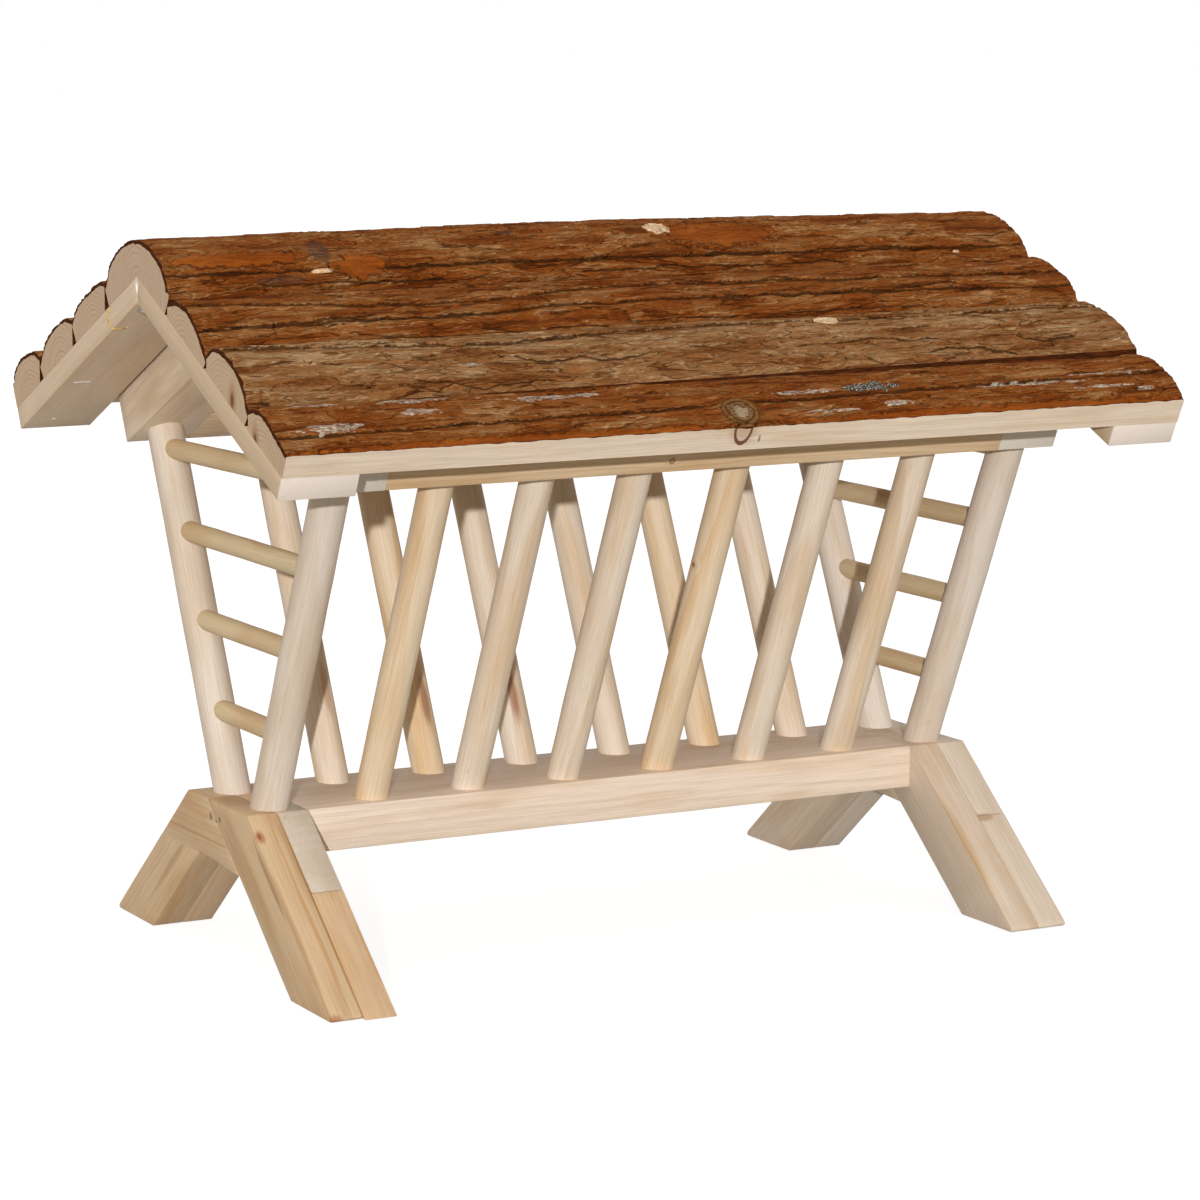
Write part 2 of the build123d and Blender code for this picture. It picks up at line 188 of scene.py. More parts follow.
def pine(name, pale, tan_line, grain, pith, ring=2.6, figure=0.7, knots=(), stains=(), seed=0):
    """Planed pine: growth rings round a pith line along the grain, fibres, blotches, knots and stains."""
    f = Finish(name, gloss=0.3)
    turn = Vector(grain).rotation_difference(Vector((0, 0, 1))).to_euler()

    def along_grain(centre):
        """Place in mm from this point, turned so that its z runs along the grain."""
        start = turn.to_matrix() @ Vector(centre)
        inputs = {"Vector": f.place, "Scale": to_mm, "Rotation": turn, "Location": -start}
        return f.node("ShaderNodeMapping", {}, inputs)

    local = f.moved(along_grain(pith), (0, 0, seed * 137.0))
    slow = f.streaks(local, (1 / 32, 1 / 32, 1 / 150), out="Color")
    bent = f.moved(local, f.scaled(f.moved(slow, (-0.5, -0.5, -0.5)), (11, 11, 11)))
    radius = f.distance(f.scaled(bent, (1, 1, 0.012)))
    dark = None
    for centre, size in knots:
        away = f.distance(f.scaled(f.place, to_mm), centre)
        radius = radius + away.ease(size * 0.8, size * 3.6, size * 0.9, 0.0)
        away = away + f.streaks(f.place, (700, 700, 700)) * size * 0.35
        spot = away.ease(size * 0.75, size * 1.15, 1.0, 0.0)
        rim = abs(away - size).ease(0.0, size * 0.32, 1.0, 0.0)
        spot = spot * 0.6 + rim * 0.9
        dark = spot if dark is None else dark.most(spot)
    turns = radius / ring
    late = turns.part().ease(0.3, 0.9) * turns.part().ease(0.92, 1.0, 1.0, 0.0)
    strength = f.cloud(f.node("ShaderNodeCombineXYZ", {}, {"X": turns * 0.45, "Y": seed + 0.5}), 1.0)
    late = late * strength.ease(0.3, 0.7, 0.25, 1.0)
    fibre = f.streaks(local, (1.5, 1.5, 0.03), 3.0, 0.6)
    blotch = f.streaks(local, (1 / 14, 1 / 14, 1 / 85), 3.0, 0.55)
    dash = f.streaks(local, (1.1, 1.1, 0.12), 1.0).ease(0.7, 0.78)
    colour = f.mix(pale, tan_line, late * figure)
    colour = f.mix(colour, tan_line, blotch.ease(0.42, 0.72, 0.0, 0.75))
    colour = f.shade(colour, fibre.ease(0.3, 0.7, 0.9, 1.06))
    colour = f.mix(colour, (150, 108, 66), dash * 0.22)
    if dark is not None:
        colour = f.mix(colour, (142, 84, 48), dark * 0.8)
    for centre, half, stain, most, *thin in stains:
        reach = f.distance(f.scaled(along_grain(centre), [1 / part for part in half]))
        if thin:
            shown = abs(reach + (fibre - 0.5) * 0.2 - 1).ease(thin[0] * 0.5, thin[0], most, 0.0)
        else:
            shown = (reach + (fibre - 0.5) * 0.8).ease(0.45, 1.15, most, 0.0)
        colour = f.mix(colour, stain, shown)
    return f.close(colour, fibre.ease(0.3, 0.7, 0.52, 0.68), fibre * 0.6 + late * 0.4, 0.16)


def piece(name, bm, finishes, body, nodes, sharp_deg=32):
    """Turns a finished bmesh into a piece on its body, in place of its CAD nodes."""
    bmesh.ops.recalc_face_normals(bm, faces=bm.faces)
    for face in bm.faces:
        face.smooth = True
    for edge in bm.edges:
        one_finish = len({face.material_index for face in edge.link_faces}) == 1
        edge.smooth = edge.is_manifold and one_finish and edge.calc_face_angle(0.0) < radians(sharp_deg)
    mesh = bpy.data.meshes.new(name)
    bm.to_mesh(mesh)
    bm.free()
    made = bpy.data.objects.new(name, mesh)
    bpy.context.scene.collection.objects.link(made)
    for finish in finishes:
        mesh.materials.append(finish)
    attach(made, body)
    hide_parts(*nodes)


def pine_piece(name, bm, body, slot, pale, dark, grain, pith, **figure):
    """One piece of pine in place of the node of its name, with a finish of its own."""
    wood = pine(name + "_pine", pale, dark, grain, pith, **figure)
    piece(name + "_wood", bm, [wood], body, [name])


def cross_cuts(bm, direction, pitch):
    """Cuts a mesh across at an even pitch, so that it can take a slight waviness."""
    direction = Vector(direction).normalized()
    reach = [vert.co.dot(direction) for vert in bm.verts]
    count = int((max(reach) - min(reach)) / (pitch * MM))
    for i in range(1, count + 1):
        place = min(reach) + (max(reach) - min(reach)) * i / (count + 1)
        parts = bm.verts[:] + bm.edges[:] + bm.faces[:]
        bmesh.ops.bisect_plane(bm, geom=parts, dist=1e-7, plane_co=direction * place, plane_no=direction)


def waver(bm, amount, size, seed):
    """Moves the points of a mesh by a slow noise."""
    noise.seed_set(1)                      # else the clock seeds the noise
    for vert in bm.verts:
        vert.co += noise.noise_vector(vert.co / (size * MM) + Vector((seed, 0, 0))) * amount * MM


def bar(outline, x_low, x_high, grain, ease=0.6, seed=0, toe=0.0):
    """A bar along X with this outline in Y and Z, its edges eased and its toes on the ground rounded."""
    bm = bmesh.new()
    corners = [bm.verts.new((x_low * MM, y * MM, z * MM)) for y, z in outline]
    bmesh.ops.contextual_create(bm, geom=corners)
    far = bmesh.ops.extrude_face_region(bm, geom=bm.faces[:], use_keep_orig=True)["geom"]
    moved = [part for part in far if isinstance(part, bmesh.types.BMVert)]
    bmesh.ops.translate(bm, verts=moved, vec=((x_high - x_low) * MM, 0, 0))
    bmesh.ops.recalc_face_normals(bm, faces=bm.faces)
    if toe:
        toes = [
            edge for edge in bm.edges
            if all(vert.co.z < 1e-6 for vert in edge.verts) and edge.calc_face_angle(0.0) > radians(100)
        ]
        bmesh.ops.bevel(bm, geom=toes, offset=toe * MM, segments=5, profile=0.5, affect="EDGES", material=-1)
    sharp = [edge for edge in bm.edges if edge.calc_face_angle(0.0) > radians(24)]
    bmesh.ops.bevel(bm, geom=sharp, offset=ease * MM, segments=2, profile=0.5, affect="EDGES", material=-1)
    cross_cuts(bm, grain, pitch=11.0)
    waver(bm, amount=0.14, size=24.0, seed=seed)
    return bm


def out_y(z):
    return top_half + splay * (top_z - z)


def in_y(z):
    return out_y(z) - leg_cut


# Each layer: its low face, the side k of its long leg, the seam over its short leg, and its two tints.
layers = {
    "left_outer": (-trestle_out_x, -1, crotch_z + outer_seam_up, (213, 185, 148), (190, 148, 102)),
    "left_inner": (-trestle_out_x + layer, 1, crotch_z, (217, 187, 152), (200, 158, 112)),
    "right_inner": (board_half_x, -1, crotch_z + outer_seam_up, (216, 198, 178), (202, 174, 142)),
    "right_outer": (trestle_out_x - layer, 1, crotch_z, (215, 199, 181), (202, 178, 150)),
}
rust, umber = (150, 84, 44), (120, 84, 48)
# Each stain: centre, half sizes (two across the grain, then along it), colour, strength, and the width of
# the line where only its outline shows.
trestle_stains = {
    "left_outer_long_leg": [
        ((-197.5, -46, 69.5), (2.8, 5, 4.5), (176, 118, 80), 0.85),
        ((-197.8, -45.4, 69.5), (1.0, 5, 2.2), (140, 70, 40), 0.8),
        ((-200, -62, 52), (2.0, 2.4, 26), (140, 100, 62), 0.6),
        ((-200, -88, 36), (1.6, 2.2, 56), (166, 122, 80), 0.5),
        ((-190, -84, 39), (1.2, 4, 75), (196, 138, 80), 0.5),
        ((-184.6, -84, 39), (0.8, 5, 90), (170, 116, 60), 0.7),
        ((-198, -131, 1), (5, 6, 4), rust, 0.6),
        ((-200, -3.6, 70.4), (3, 1.6, 1.6), umber, 0.85),
    ],
    "left_outer_head": [
        ((-200, 6.2, 70), (3, 1.4, 1.4), umber, 0.85),
        ((-200, -2.0, 70.4), (3, 1.6, 1.6), umber, 0.8),
        ((-200, 22, 58), (2, 0.7, 60), (168, 130, 88), 0.6),
    ],
    "left_outer_short_leg": [
        ((-200, -2, 46), (4, 5, 9), (128, 90, 50), 0.8),
        ((-200, 62, 34), (4, 2.2, 40), (164, 122, 80), 0.5),
    ],
    "left_inner_long_leg": [((-183.6, 84, 39), (0.8, 5, 90), (170, 116, 60), 0.5)],
    "right_inner_long_leg": [
        ((168, -94, 34), (4, 6, 46), (214, 180, 132), 0.5),
        ((168, -84, 39), (4, 1.3, 34), (178, 138, 94), 0.5),
    ],
    "right_outer_short_leg": [((187.0, -75.0, 46.4), (6.0, 8, 3.2), (162, 122, 82), 0.6)],
    "right_outer_head": [((187.0, -75.0, 46.4), (6.0, 8, 3.2), (162, 122, 82), 0.6)],
}
for count, (layer_name, (x_low, k, seam_z, pale, dark)) in enumerate(layers.items()):
    long_leg = [(k * top_half, top_z), (k * out_y(0), 0), (k * in_y(0), 0), (k * in_y(top_z), top_z)]
    short_leg = [(-k * in_y(seam_z), seam_z), (-k * in_y(0), 0), (-k * out_y(0), 0)]
    short_leg.append((-k * out_y(seam_z), seam_z))
    head = [(k * in_y(top_z), top_z), (k * in_y(crotch_z), crotch_z), (-k * in_y(crotch_z), crotch_z)]
    if seam_z > crotch_z:
        head += [(-k * in_y(seam_z), seam_z)]
    head += [(-k * out_y(seam_z), seam_z), (-k * top_half, top_z)]
    lean_of = {"long_leg": (0, k * splay, -1), "short_leg": (0, -k * splay, -1), "head": (0, 1, 0)}
    for part, outline in {"long_leg": long_leg, "short_leg": short_leg, "head": head}.items():
        seed = count * 3 + len(part)
        along = lean_of[part]
        pith = (x_low + (34 if count % 2 else -22), 20, -30)
        name = f"{layer_name}_{part}"
        if name == "left_inner_head":
            pale, dark, pith = (211, 197, 181), (200, 184, 164), (x_low + 8, 0, -60)
        if name == "right_outer_head":
            # Its grain runs on from the short leg below it.
            along, seed = lean_of["short_leg"], seed + len("short_leg") - len("head")
        toe = 0.0 if layer_name == "left_inner" or part == "head" else toe_round
        bm = bar(outline, x_low, x_low + layer, along, seed=seed, toe=toe)
        pine_piece(
            name, bm, "rack", "trestle_pine", pale, dark, along, pith,
            ring=3.1, figure=0.42 if x_low < 0 else 0.26, stains=trestle_stains.get(name, ()), seed=seed,
        )

# Base board between the trestles: one flat pine board, planed, drilled down both long sides for the slats
# and nailed through from the trestles.
board_t = 21.3
along_x = (1, 0, 0)
outline = [(-top_half, top_z - board_t), (top_half, top_z - board_t), (top_half, top_z), (-top_half, top_z)]
bm = bar(outline, -board_half_x, board_half_x, along_x, ease=0.8, seed=31)
pine_piece(
    "base_board", bm, "rack", "board_pine", (233, 214, 196), (216, 188, 158), along_x, (0, -52, 38),
    ring=4.2, figure=0.4,
)

# Dowels: round sanded pine, glued into blind holes. Six slats lean out along each side, a thicker post
# stands at each corner, and four rungs cross each end between the posts.
lean = 25.0
ca, sa = cos(radians(lean)), sin(radians(lean))
foot_y = 22.0
slat_r, post_r, rung_r = 8.1, 9.0, 5.1
post_x = 182.5
slat_xs = [-129.457, -77.614, -25.771, 26.971, 79.414, 131.457]
apex_z = 329.8
inner_t = 33.5
free_len = (apex_z - top_z) * ca - foot_y * sa - inner_t
slat_in_board, slat_in_rail = 11.0, 8.0
post_in_board, post_past = 9.0, 15.0
rung_in_post = 6.0
rung_zs = [top_z + free_len * ca * share for share in (0.225, 0.472, 0.717, 0.946)]
skewed_rise = 3.4


def dowel(low_end, high_end, radius, seed, segments=40):
    """A round rod between two points, its ends broken and its sides a touch uneven."""
    low_end, high_end = Vector(low_end) * MM, Vector(high_end) * MM
    axis = high_end - low_end
    bm = bmesh.new()
    turn = Vector((0, 0, 1)).rotation_difference(axis).to_matrix().to_4x4()
    put = Matrix.Translation((low_end + high_end) / 2) @ turn
    radius *= MM
    bmesh.ops.create_cone(
        bm, cap_ends=True, segments=segments, radius1=radius, radius2=radius, depth=axis.length, matrix=put
    )
    flake_shadows = [edge for edge in bm.edges if abs(edge.calc_face_angle(0.0)) > radians(60)]
    bmesh.ops.bevel(bm, geom=flake_shadows, offset=0.8 * MM, segments=2, profile=0.5, affect="EDGES", material=-1)
    cross_cuts(bm, axis, pitch=9.0)
    waver(bm, amount=0.16, size=20.0, seed=seed)
    return bm


sides = {"front": -1, "back": 1}
ends = {"left": -1, "right": 1}


def leaning(side, x, along):
    """Point on a leaning dowel's axis, this far up it from the board's top."""
    return (x, side * (foot_y + along * sa), top_z + along * ca)


slat_knots = {
    "back_slat_4": [(leaning(1, slat_xs[3] - 6, 34), 2.2)],
    "front_slat_4": [(leaning(-1, slat_xs[3] - 7, 120), 1.8)],
}
slat_stains = {
    "back_slat_1": [((slat_xs[0] + 2, 34, 122), (2.5, 5, 16), (190, 142, 96), 0.6)],
    "back_slat_2": [((-76, 30, 111), (3.2, 5, 15), (150, 96, 66), 0.7)],
    "back_slat_3": [((-27, 29.5, 110), (2.8, 5, 17), (150, 90, 58), 0.75)],
    "front_slat_1": [(leaning(-1, slat_xs[0] - 6, 90), (0.7, 9, 42), (208, 160, 102), 0.4)],
    "front_slat_3": [(leaning(-1, slat_xs[2] + 1, 60), (3, 9, 26), (206, 178, 150), 0.6)],
}
for side_name, side in sides.items():
    for number, x in enumerate(slat_xs, 1):
        seed = number + 40 + 10 * side
        name = f"{side_name}_slat_{number}"
        low_end, high_end = leaning(side, x, -slat_in_board), leaning(side, x, free_len + slat_in_rail)
        along = Vector(high_end) - Vector(low_end)
        pith = Vector(low_end) + Vector((12 * sin(seed), 9 * cos(seed), 0))
        pale, dark = (232, 217, 199), (216, 188, 152)
        if (number + side) % 3 == 0:
            pale, dark = (232, 211, 182), (216, 178, 128)
        pine_piece(
            name, dowel(low_end, high_end, slat_r, seed), "rack", "dowel_pine", pale, dark, along, pith,
            ring=2.2, figure=0.62, seed=seed,
            knots=slat_knots.get(name, ()), stains=slat_stains.get(name, ()),
        )
    for end_name, end in ends.items():
        seed = 70 + 3 * side + end
        name = f"{side_name}_{end_name}_post"
        x = end * post_x
        low_end, high_end = leaning(side, x, -post_in_board), leaning(side, x, free_len + post_past)
        along = Vector(high_end) - Vector(low_end)
        pith = Vector(low_end) + Vector((14 * sin(seed), 10, 0))
        bm = dowel(low_end, high_end, post_r, seed, 44)
        pine_piece(
            name, bm, "rack", "dowel_pine", (224, 211, 198), (206, 184, 158), along, pith,
            ring=2.8, figure=0.45, seed=seed,
        )

for end_name, end in ends.items():
    for number, z in enumerate(rung_zs):
        rise = skewed_rise if end_name == "left" and number == 3 else 0.0
        post_y = foot_y + (z - top_z) * sa / ca
        reach = post_y - post_r / ca + rung_in_post
        drop = rise * (post_y - reach) / (2 * post_y)
        name = f"{end_name}_rung_{number + 1}"
        low_end, high_end = (end * post_x, -reach, z + rise - drop), (end * post_x, reach, z + drop)
        seed = 90 + number + 7 * end
        pith = (end * post_x + 6 * sin(seed), 0, z + 5 * cos(seed))
        bm = dowel(low_end, high_end, rung_r, seed, 32)
        pine_piece(
            name, bm, "rack", "dowel_pine", (222, 200, 162), (206, 170, 124), (0, 1, 0), pith,
            ring=2.2, figure=0.5, seed=seed,
        )

# Rails and the rack's own rafters: flat battens drilled from below and glued over the ends of the dowels.
# The rails run between the rafters, whose tops make the slope that carries the roof.
dowel_s = foot_y * ca + (apex_z - top_z) * sa
rail_w, rail_t = 36.0, 12.0
rail_gap = 0.05
frame_end_s = dowel_s + rail_w / 2
inner_x1 = post_x + 14.0
inner_x0 = inner_x1 - 32.0


def at(side, s, h):
    """Point (y, z) at s down the slope from the ridge and h above the roof plane."""
    return (side * (s * ca + h * sa), apex_z - s * sa + h * ca)


for side_name, side in sides.items():
    rail_s = frame_end_s - rail_w
    outline = [at(side, rail_s, -inner_t), at(side, frame_end_s, -inner_t)]
    outline += [at(side, frame_end_s, rail_t - inner_t), at(side, rail_s, rail_t - inner_t)]
    knots = [((-18.8, *at(side, frame_end_s, rail_t / 2 - inner_t)), 1.7)] if side < 0 else []
    bm = bar(outline, -inner_x0 + rail_gap, inner_x0 - rail_gap, along_x, ease=0.5, seed=12 + side)
    pine_piece(
        side_name + "_rail", bm, "rack", "board_pine", (226, 199, 164), (208, 170, 124), along_x,
        (0, side * 100, 200), ring=3.0, figure=0.5, knots=knots, seed=5 + side,
    )
    outline = [(0, apex_z - inner_t / ca), at(side, frame_end_s, -inner_t)]
    outline += [at(side, frame_end_s, 0), (0, apex_z)]
    down = (0, side * ca, -sa)
    for end_name, end in ends.items():
        name = f"{side_name}_{end_name}_rack_rafter"
        seed = 21 + side * 2 + end
        pith = (end * inner_x0, 0, apex_z + 26 * side)
        pale_end = ((end * 180, *at(side, frame_end_s, -inner_t / 2)), (60, 60, 1.4), (226, 220, 208), 0.9)
        bm = bar(outline, *sorted((end * inner_x0, end * inner_x1)), down, ease=0.5, seed=seed)
        pine_piece(
            name, bm, "rack", "board_pine", (232, 214, 190), (206, 176, 142), down, pith,
            ring=3.0, figure=0.5, stains=[pale_end], seed=seed,
        )

# Rafters of the lift-off roof: flat battens just outside the rack's own, mitred at the ridge and stapled
# from below, so that the roof straddles the rack and lifts off.
outer_t = 11.4
outer_x0 = inner_x1 + 2.7
roof_half_x = outer_x0 + 36.8
roof_end_s = 181.3
mitre_gap = 0.5
rafter_pale = {"front": (210, 186, 156), "back": (220, 198, 172)}

for side_name, side in sides.items():
    fall = mitre_gap * sa / ca
    outline = [(side * mitre_gap, apex_z - outer_t / ca - fall), at(side, roof_end_s, -outer_t)]
    outline += [at(side, roof_end_s, 0), (side * mitre_gap, apex_z - fall)]
    down = (0, side * ca, -sa)
    for end_name, end in ends.items():
        name = f"{side_name}_{end_name}_roof_rafter"
        seed = 33 + side * 2 + end
        pith = (end * outer_x0, 0, apex_z - 40)
        stains = [
            ((end * 218, *at(side, roof_end_s, -outer_t / 2)), (60, 30, 1.4), (236, 224, 214), 0.95),
            # A near-white line down the mitre at the left gable end.
            ((-roof_half_x, 0, apex_z - 6.5), (1.2, 4.5, 1.4), (250, 246, 240), 1.0),
        ]
        bm = bar(outline, *sorted((end * outer_x0, end * roof_half_x)), down, ease=0.4, seed=seed)
        pine_piece(
            name, bm, "roof", "board_pine", rafter_pale[side_name], (206, 180, 148), down, pith,
            ring=3.0, figure=0.35, stains=stains, seed=seed,
        )

# Bark slabs, three down each slope: the outsides of small logs, sawn flat below and at both sides, with
# the bark left on above. The bark is furrowed and flakes in long plates; they are stapled from below.
slab_h = 20.0
slab_gap = 0.25
furrow_deep, furrow_wide = 1.25, 1.9
split_deep, split_wide = 0.85, 1.4
lip_high, lip_wide = 0.4, 4.5
plate_long, plate_wide = 30, 6.8
slab_columns, slab_rows, ridge_rows = 500, 84, 132
bark_thick, upper_thick, seam_thick, fascia_thick = 2.0, 2.2, 3.4, 0.45
seams = {
    "front": [(37.2, 34.4), (86.4, 83.2), (136.9, 136.6), (roof_end_s, roof_end_s)],
    "back": [(39.6, 37.0), (88.2, 86.0), (138.8, 137.2), (roof_end_s, roof_end_s)],
}
slab_tops = {
    "front_bark_slab_1": [
        [(0, 0.325), (0.159, 0.58), (0.341, 0.71), (0.524, 0.735), (0.728, 0.63), (0.89, 0.46), (1, 0.325)],
        [(0, 0.55), (0.115, 0.715), (0.291, 0.83), (0.525, 0.88), (0.73, 0.9), (0.904, 0.76), (1, 0.59)],
    ],
    "front_bark_slab_2": [
        [(0, 0.4), (0.091, 0.67), (0.21, 0.82), (0.448, 0.915), (0.685, 0.875), (0.883, 0.69), (1, 0.425)],
        [(0, 0.61), (0.109, 0.76), (0.242, 0.88), (0.489, 0.98), (0.757, 0.96), (0.914, 0.85), (1, 0.77)],
    ],
    "front_bark_slab_3": [
        [(0, 0.43), (0.092, 0.57), (0.227, 0.69), (0.385, 0.745), (0.588, 0.71), (0.791, 0.645), (1, 0.58)],
        [(0, 0.58), (0.121, 0.75), (0.266, 0.86), (0.479, 0.92), (0.658, 0.9), (0.837, 0.81), (1, 0.65)],
    ],
    "back_bark_slab_1": [
        [(0, 0.6), (0.132, 0.745), (0.311, 0.79), (0.494, 0.81), (0.648, 0.82), (0.852, 0.745), (1, 0.59)],
        [(0, 0.53), (0.143, 0.7), (0.306, 0.79), (0.51, 0.83), (0.714, 0.795), (0.878, 0.7), (1, 0.54)],
    ],
    "back_bark_slab_2": [
        [(0, 0.55), (0.115, 0.73), (0.253, 0.83), (0.47, 0.87), (0.688, 0.825), (0.866, 0.69), (1, 0.48)],
        [(0, 0.55), (0.117, 0.75), (0.273, 0.88), (0.488, 0.93), (0.723, 0.86), (0.879, 0.73), (1, 0.53)],
    ],
    "back_bark_slab_3": [
        [(0, 0.575), (0.146, 0.82), (0.311, 0.93), (0.499, 0.99), (0.687, 0.995), (0.864, 0.88), (1, 0.65)],
        [(0, 0.55), (0.132, 0.76), (0.29, 0.86), (0.494, 0.92), (0.676, 0.9), (0.857, 0.79), (1, 0.62)],
    ],
}
# The bark's main furrows, at even stations from left to right, as shares of the way over the top.
furrows = {
    "front_bark_slab_1": [[0.36, 0.54, 0.38, 0.47, 0.53], [0.72, 0.72, 0.66, 0.72, 0.79]],
    "front_bark_slab_2": [[0.28, 0.44, 0.29, 0.31, 0.26], [0.59, 0.65, 0.65, 0.54, 0.66]],
    "front_bark_slab_3": [[0.25, 0.29, 0.24, 0.32, 0.34], [0.74, 0.71, 0.66, 0.62, 0.57]],
    "back_bark_slab_1": [[0.31, 0.27, 0.35, 0.3, 0.38], [0.62, 0.7, 0.64, 0.72, 0.66]],
    "back_bark_slab_2": [[0.36, 0.41, 0.33, 0.28, 0.34], [0.7, 0.66, 0.73, 0.62, 0.68]],
    "back_bark_slab_3": [[0.27, 0.34, 0.31, 0.38, 0.33], [0.61, 0.68, 0.72, 0.66, 0.74]],
}
shade_names = ("across", "tone", "crack", "smooth", "crust", "chip", "bruise", "lichen", "knot")
# How far the edge of each kind of mark on the bark is frayed.
mark_frays = {"smooth": 1.0, "crust": 1.6, "chip": 0.6, "bruise": 1.0, "lichen": 1.6, "grey": 1.3}


def smooth_line(points, count):
    """Even steps along a smooth line through the given (y, z) points."""
    points = [Vector((y, z, 0)) for y, z in points]
    fine = []
    for i, (here, there) in enumerate(zip(points, points[1:])):
        before, after = points[max(i - 1, 0)], points[min(i + 2, len(points) - 1)]
        pull = (there - here).length / 3
        first = here + (there - before).normalized() * pull
        second = there - (after - here).normalized() * pull
        stretch = geometry.interpolate_bezier(here, first, second, there, 24)
        fine += stretch[1 if fine else 0:]
    reach = [0.0]
    for here, there in zip(fine, fine[1:]):
        reach.append(reach[-1] + (there - here).length)
    line, i = [], 0
    for step in range(count + 1):
        goal = reach[-1] * step / count
        while i < len(reach) - 2 and reach[i + 1] < goal:
            i += 1
        share = (goal - reach[i]) / max(reach[i + 1] - reach[i], 1e-9)
        line.append(fine[i].lerp(fine[i + 1], min(max(share, 0.0), 1.0)))
    return line, reach[-1]


def eased(low, high, value):
    """Smooth step from 0 at low to 1 at high."""
    share = min(max((value - low) / (high - low), 0.0), 1.0)
    return share * share * (3 - 2 * share)


def hash_of(point, salt):
    """A steady number from 0 to 1 for one plate of bark."""
    return (sin(point.x * 12.9898 + point.y * 78.233 + salt * 3.7) * 43758.5453) % 1.0


def line_at(points, x):
    """Where a line of (x, share) points lies at x, and how far x is from its nearer end."""
    for (x0, share0), (x1, share1) in zip(points, points[1:]):
        if x0 <= x <= x1:
            return share0 + (share1 - share0) * eased(x0, x1, x), min(x - points[0][0], points[-1][0] - x)
    return None, 0.0


def patch(places, x, across, ragged):
    """How far a point lies inside any of the ragged ovals (x, across, half length, half width)."""
    most = 0.0
    for centre_x, centre_across, half_x, half_across in places:
        reach = ((x - centre_x) / half_x) ** 2 + ((across - centre_across) / half_across) ** 2
        if reach < 3:
            most = max(most, 1 - eased(0.6, 1.1, reach + ragged))
    return most


def bark_relief(x, across, lines, seed, marks):
    """Height in mm of the bark at a point, and the shades that its finish reads."""

    def ripple(length, width, salt):
        """Noise from -1 to 1, this long and this wide in mm."""
        return noise.noise((x / length, across / width, seed + salt))

    sway = ripple(70, 26, 0) * 4.0 + ripple(19, 9, 3) * 1.5 + ripple(5, 3, 5) * 0.35
    ragged = ripple(5, 3, 43) * 0.7 + ripple(2, 1.4, 47) * 0.35
    smooth, crust, chip, bruise, lichen, grey = [
        patch(marks.get(kind, ()), x, across, ragged * fray) for kind, fray in mark_frays.items()
    ]
    spot = Vector((x / plate_long + sway * 0.05 + seed, (across + sway) / plate_wide, seed))
    gaps, seeds = noise.voronoi(spot)
    whole = hash_of(seeds[0], 1)
    across_gap = (seeds[1] - seeds[0]).normalized()
    gap_mm = (gaps[1] - gaps[0]) / (2 * Vector((across_gap.x / plate_long, across_gap.y / plate_wide)).length)
    split = 1 - eased(0.15, 0.75, gap_mm)
    shown = eased(0.42, 0.7, hash_of(seeds[0] + seeds[1], 2) + ripple(16, 8, 8) * 0.6)
    tilt = (spot.y - seeds[0].y) * (hash_of(seeds[0], 5) - 0.5)
    flake = noise.noise((x / 13, (across + sway) / 2.4, seed + 17)) * 3.2
    step = flake // 1 + eased(0.7, 1.0, flake % 1.0)
    height = (whole - 0.5) * 0.7 + tilt * 2.2 + step * 0.14
    # The gaps between plates are sunk and darkened: the bark's dark fissure colour together with painted
    # shade.
    crack = split * shown * 0.85
    height -= crack * 0.45
    # Each crack line sinks a furrow beside a raised lip; the furrow and the lip's edge are darkened, partly
    # the bark's own fissure colour and partly painted shade.
    for place, deep, wide, fade, lip in lines:
        off = (across - place) * lip
        fade = min(fade, 1.0)
        if -lip_wide < off < wide:
            if off < 0:
                height += lip_high * deep * (1 - eased(0.0, lip_wide, -off)) * fade
                crack = max(crack, (1 - eased(0.1, 0.5, -off)) * fade)
            else:
                height -= deep * (1 - off / wide) * fade
                crack = max(crack, (1 - eased(0.3, 0.95 + 0.3 * wide, off)) * fade * 1.6)
    height *= 1 - 0.75 * smooth
    crack *= 1 - 0.85 * smooth
    knot = 0.0
    for centre_x, centre_across, size in marks.get("knot", ()):
        away = ((x - centre_x) ** 2 + (across - centre_across) ** 2) ** 0.5 + ragged * 1.3
        if away < size * 1.5:
            knot = max(1 - away / (size * 1.5), 0.001)
            height *= eased(size * 0.9, size * 1.5, away)
            height += 1.3 * (1 - eased(size * 0.15, size * 0.9, abs(away - size * 0.7)))
            height += 0.3 * sin(away * 3.2)
            crack *= eased(size * 0.8, size * 1.4, away)
    height += crust * 0.18 + ripple(9, 0.8, 37) * 0.16
    height = height * (1 - chip) + chip * (ragged * 0.9 + 0.5)
    tone = min(max(0.2 + 0.55 * whole + step * 0.07 + 0.35 * grey, 0.0), 1.0)
    return height, (across, tone, crack, smooth, crust, chip, bruise, lichen, knot)


